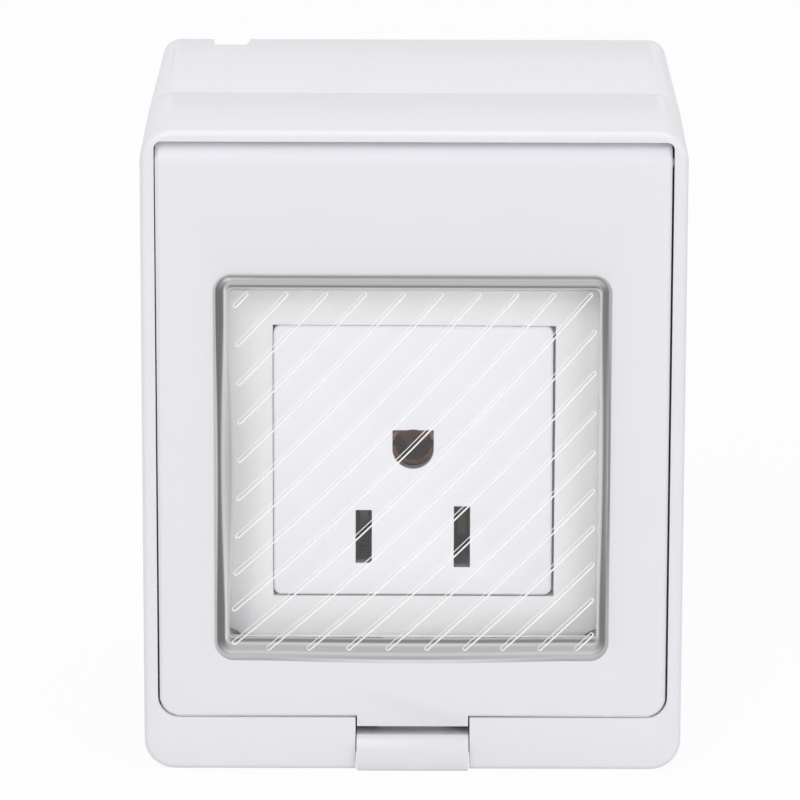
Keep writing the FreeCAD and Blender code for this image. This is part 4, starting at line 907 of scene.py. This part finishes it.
def makeRidgeTree(plan, detail):
    tree = bpy.data.node_groups.new("ridgeLoops", "GeometryNodeTree")
    tree.interface.new_socket("Geometry", in_out="OUTPUT", socket_type="NodeSocketGeometry")
    for name, value in plan.items():
        kind = "NodeSocketInt" if name == "Lines" else "NodeSocketFloat"
        tree.interface.new_socket(name, in_out="INPUT", socket_type=kind)
    tree.interface.new_socket("Finish", in_out="INPUT", socket_type="NodeSocketMaterial")
    given = tree.nodes.new("NodeGroupInput").outputs
    result = tree.nodes.new("NodeGroupOutput")

    def add(kind, **values):
        return addNode(tree, kind, **values)

    def join(source, target):
        tree.links.new(source, target)

    def vector(x, y, z):
        node = add("ShaderNodeCombineXYZ")
        for socket, value in zip(node.inputs, (x, y, z)):
            if isinstance(value, bpy.types.NodeSocket):
                join(value, socket)
            else:
                socket.default_value = value
        return node.outputs[0]

    def sums(operation, first, second=0.0):
        return addMath(tree, operation, first, second)

    def keep(geometry, name, value):
        node = add("GeometryNodeStoreNamedAttribute", data_type="FLOAT", domain="POINT")
        node.inputs["Name"].default_value = name
        join(geometry, node.inputs["Geometry"])
        join(value, node.inputs["Value"])
        return node.outputs[0]

    def kept(name):
        node = add("GeometryNodeInputNamedAttribute", data_type="FLOAT")
        node.inputs["Name"].default_value = name
        return node.outputs["Attribute"]

    # each line is crossing + slope * x + bend * x * x
    number = add("GeometryNodeInputIndex").outputs[0]
    crossing = sums("ADD", given["Start"], sums("MULTIPLY", given["First Gap"], number))
    crossing = sums("ADD", crossing, sums("MULTIPLY", given["Growth"], sums("MULTIPLY", number, number)))
    slope = sums("ADD", given["First Slope"], sums("MULTIPLY", given["Slope Growth"], number))
    double = sums("MULTIPLY", given["Bend"], 2.0)

    def meeting(height):
        rest = sums("MULTIPLY", sums("MULTIPLY", double, 2.0), sums("SUBTRACT", crossing, height))
        root = sums("SQRT", sums("SUBTRACT", sums("MULTIPLY", slope, slope), rest))
        return sums("DIVIDE", sums("SUBTRACT", root, slope), double)

    beside = sums("DIVIDE", sums("ADD", crossing, sums("MULTIPLY", slope, given["Left"])), given["High"])
    bulge = sums("MAXIMUM", sums("SUBTRACT", 1.0, sums("MULTIPLY", beside, beside)), 0.0)
    left = sums("ADD", given["Left"], sums("MULTIPLY", given["Left Bulge"], bulge))
    first = sums("MAXIMUM", left, meeting(given["Low"]))
    last = sums("MINIMUM", given["Right"], meeting(given["High"]))
    both = sums("ADD", first, last)
    across = sums("MULTIPLY", both, 0.5)
    chord = sums("ADD", slope, sums("MULTIPLY", given["Bend"], both))
    squares = sums("ADD", sums("MULTIPLY", first, first), sums("MULTIPLY", last, last))
    up = sums("ADD", crossing, sums("MULTIPLY", slope, across))
    up = sums("ADD", up, sums("MULTIPLY", sums("MULTIPLY", given["Bend"], 0.5), squares))
    turn = sums("ARCTANGENT", chord)
    half = sums("DIVIDE", sums("SUBTRACT", last, first), sums("MULTIPLY", sums("COSINE", turn), 2.0))
    reach = sums("SUBTRACT", half, given["Loop Width"])

    points = add("GeometryNodePoints")
    join(given["Lines"], points.inputs["Count"])
    join(vector(across, given["Depth"], up), points.inputs["Position"])
    marked = points.outputs[0]
    for name, value in (("first", first), ("last", last), ("turn", turn), ("reach", reach)):
        marked = keep(marked, name, value)
    drop = add("GeometryNodeDeleteGeometry", domain="POINT")
    join(marked, drop.inputs["Geometry"])
    join(sums("LESS_THAN", kept("reach"), detail["shortest"]), drop.inputs["Selection"])

    loop = add("GeometryNodeCurvePrimitiveCircle", mode="RADIUS")
    loop.inputs["Resolution"].default_value = detail["loopPoints"]
    join(sums("MULTIPLY", given["Loop Width"], 0.5), loop.inputs["Radius"])
    upright = add("GeometryNodeTransform")
    upright.inputs["Rotation"].default_value = (math.radians(90), 0, 0)
    join(loop.outputs[0], upright.inputs["Geometry"])
    place = add("ShaderNodeSeparateXYZ")
    join(add("GeometryNodeInputPosition").outputs[0], place.inputs[0])
    ends = keep(upright.outputs[0], "end", sums("SIGN", place.outputs[0]))
    share = sums("SUBTRACT", 0.5, sums("DIVIDE", place.outputs[2], given["Loop Width"]))
    ends = keep(ends, "lower", share)

    turned = add("FunctionNodeEulerToRotation")
    join(vector(0.0, sums("MULTIPLY", kept("turn"), -1.0), 0.0), turned.inputs[0])
    laid = add("GeometryNodeInstanceOnPoints")
    join(drop.outputs[0], laid.inputs["Points"])
    join(ends, laid.inputs["Instance"])
    join(turned.outputs[0], laid.inputs["Rotation"])
    real = add("GeometryNodeRealizeInstances")
    join(laid.outputs[0], real.inputs[0])

    stretch = sums("MULTIPLY", kept("end"), kept("reach"))
    moved = add("GeometryNodeSetPosition")
    join(real.outputs[0], moved.inputs["Geometry"])
    join(vector(sums("MULTIPLY", stretch, sums("COSINE", kept("turn"))), 0.0,
                sums("MULTIPLY", stretch, sums("SINE", kept("turn")))), moved.inputs["Offset"])
    cut = add("GeometryNodeSubdivideCurve")
    cut.inputs["Cuts"].default_value = detail["cuts"]
    join(moved.outputs[0], cut.inputs[0])
    where = add("ShaderNodeSeparateXYZ")
    join(add("GeometryNodeInputPosition").outputs[0], where.inputs[0])
    along = where.outputs[0]
    sag = sums("MULTIPLY", sums("SUBTRACT", along, kept("first")), sums("SUBTRACT", along, kept("last")))
    bent = add("GeometryNodeSetPosition")
    join(cut.outputs[0], bent.inputs["Geometry"])
    join(vector(0.0, 0.0, sums("MULTIPLY", sag, given["Bend"])), bent.inputs["Offset"])
    section = add("GeometryNodeCurvePrimitiveCircle", mode="RADIUS")
    section.inputs["Resolution"].default_value = detail["sectionPoints"]
    section.inputs["Radius"].default_value = 1.0
    thick = sums("SUBTRACT", given["Lower Line"], given["Upper Line"])
    thick = sums("ADD", given["Upper Line"], sums("MULTIPLY", thick, kept("lower")))
    tube = add("GeometryNodeCurveToMesh")
    join(bent.outputs[0], tube.inputs["Curve"])
    join(section.outputs[0], tube.inputs["Profile Curve"])
    join(thick, tube.inputs["Scale"])
    smooth = add("GeometryNodeSetShadeSmooth")
    join(tube.outputs[0], smooth.inputs["Geometry"])
    whole = add("GeometryNodeRealizeInstances")
    join(smooth.outputs[0], whole.inputs[0])
    finish = add("GeometryNodeSetMaterial")
    join(whole.outputs[0], finish.inputs["Geometry"])
    join(given["Finish"], finish.inputs["Material"])
    join(finish.outputs[0], result.inputs[0])
    return tree


def runTree(name, tree, plan, material):
    # an empty mesh carries the tree, and the result becomes the piece's own mesh
    piece = bpy.data.objects.new(name, bpy.data.meshes.new(name))
    scene.collection.objects.link(piece)
    modifier = piece.modifiers.new(name, "NODES")
    modifier.node_group = tree
    for item in tree.interface.items_tree:
        if item.in_out == "INPUT" and item.name in plan:
            modifier[item.identifier] = plan[item.name]
        elif item.in_out == "INPUT" and item.name == "Finish":
            modifier[item.identifier] = material
    bakeModifiers(piece)
    form = bmesh.new()
    form.from_mesh(piece.data)
    bmesh.ops.recalc_face_normals(form, faces=form.faces)
    form.to_mesh(piece.data)
    form.free()
    return piece


ridgeTree = makeRidgeTree(ridgePlan, ridgeDetail)
# the ridges wear the painted highlight
ridgeLoops = runTree("ridgeLoops", ridgeTree, ridgePlan, ridgePaintedHighlight)
settle(ridgeLoops, "lid", "window_membrane", "clear_membrane")
print("ridges made:", len(ridgeLoops.data.polygons), "faces")


# studio: pale floor, soft lamps and a plain surround
studioPlan = {
    "floorSide": 12.0,
    "floorShade": 0.85,
    "floorRoughness": 0.9,
    "floorGlow": 0.93,
    "surround": 0.52,
    "lamps": {
        "keyLamp": {"place": (-0.55, -1.1, 1.0), "side": 0.8, "power": 7.5},
        "fillLamp": {"place": (0.9, -1.0, 0.35), "side": 0.9, "power": 3.8},
        "topLamp": {"place": (0.1, 0.1, 1.2), "side": 0.7, "power": 3.7},
    },
}


def seenDirectly(tree):
    # 1 for rays that see the studio itself: from the camera, in a reflection or through clear material
    path = addNode(tree, "ShaderNodeLightPath")
    mirrored = addMath(tree, "MAXIMUM", path.outputs["Is Camera Ray"], path.outputs["Is Glossy Ray"])
    return addMath(tree, "MAXIMUM", mirrored, path.outputs["Is Transmission Ray"])


def makeStudio(plan):
    half = plan["floorSide"] / 2
    mesh = bpy.data.meshes.new("floor")
    corners = [(-half, -half), (half, -half), (half, half), (-half, half)]
    mesh.from_pydata([(x, y, cadLow.z) for x, y in corners], [], [(0, 1, 2, 3)])
    floor = bpy.data.objects.new("floor", mesh)
    scene.collection.objects.link(floor)
    material, tree, shader, output = newMaterial("floorPaper")
    shader.inputs["Base Color"].default_value = (*[plan["floorShade"]] * 3, 1)
    shader.inputs["Roughness"].default_value = plan["floorRoughness"]
    glow = addNode(tree, "ShaderNodeEmission")
    mix = addNode(tree, "ShaderNodeMixShader")
    tree.links.new(addMath(tree, "MULTIPLY", seenDirectly(tree), plan["floorGlow"]), mix.inputs[0])
    tree.links.new(shader.outputs[0], mix.inputs[1])
    tree.links.new(glow.outputs[0], mix.inputs[2])
    tree.links.new(mix.outputs[0], output.inputs["Surface"])
    mesh.materials.append(material)

    world = bpy.data.worlds.new("studio")
    scene.world = world
    world.use_nodes = True
    air = world.node_tree
    background = air.nodes["Background"]
    background.inputs["Color"].default_value = (1, 1, 1, 1)
    seen = seenDirectly(air)
    lift = addMath(air, "MULTIPLY", seen, 1 - plan["surround"])
    air.links.new(addMath(air, "ADD", lift, plan["surround"]), background.inputs["Strength"])

    middle = (cadLow + cadHigh) / 2
    for name, lamp in plan["lamps"].items():
        data = bpy.data.lights.new(name, "AREA")
        data.size = lamp["side"]
        data.energy = lamp["power"]
        lampObject = bpy.data.objects.new(name, data)
        lampObject.location = lamp["place"]
        lampObject.rotation_mode = "QUATERNION"
        lampObject.rotation_quaternion = (middle - lampObject.location).to_track_quat("-Z", "Y")
        scene.collection.objects.link(lampObject)


makeStudio(studioPlan)
scene.view_settings.view_transform = "Standard"
print("studio made")
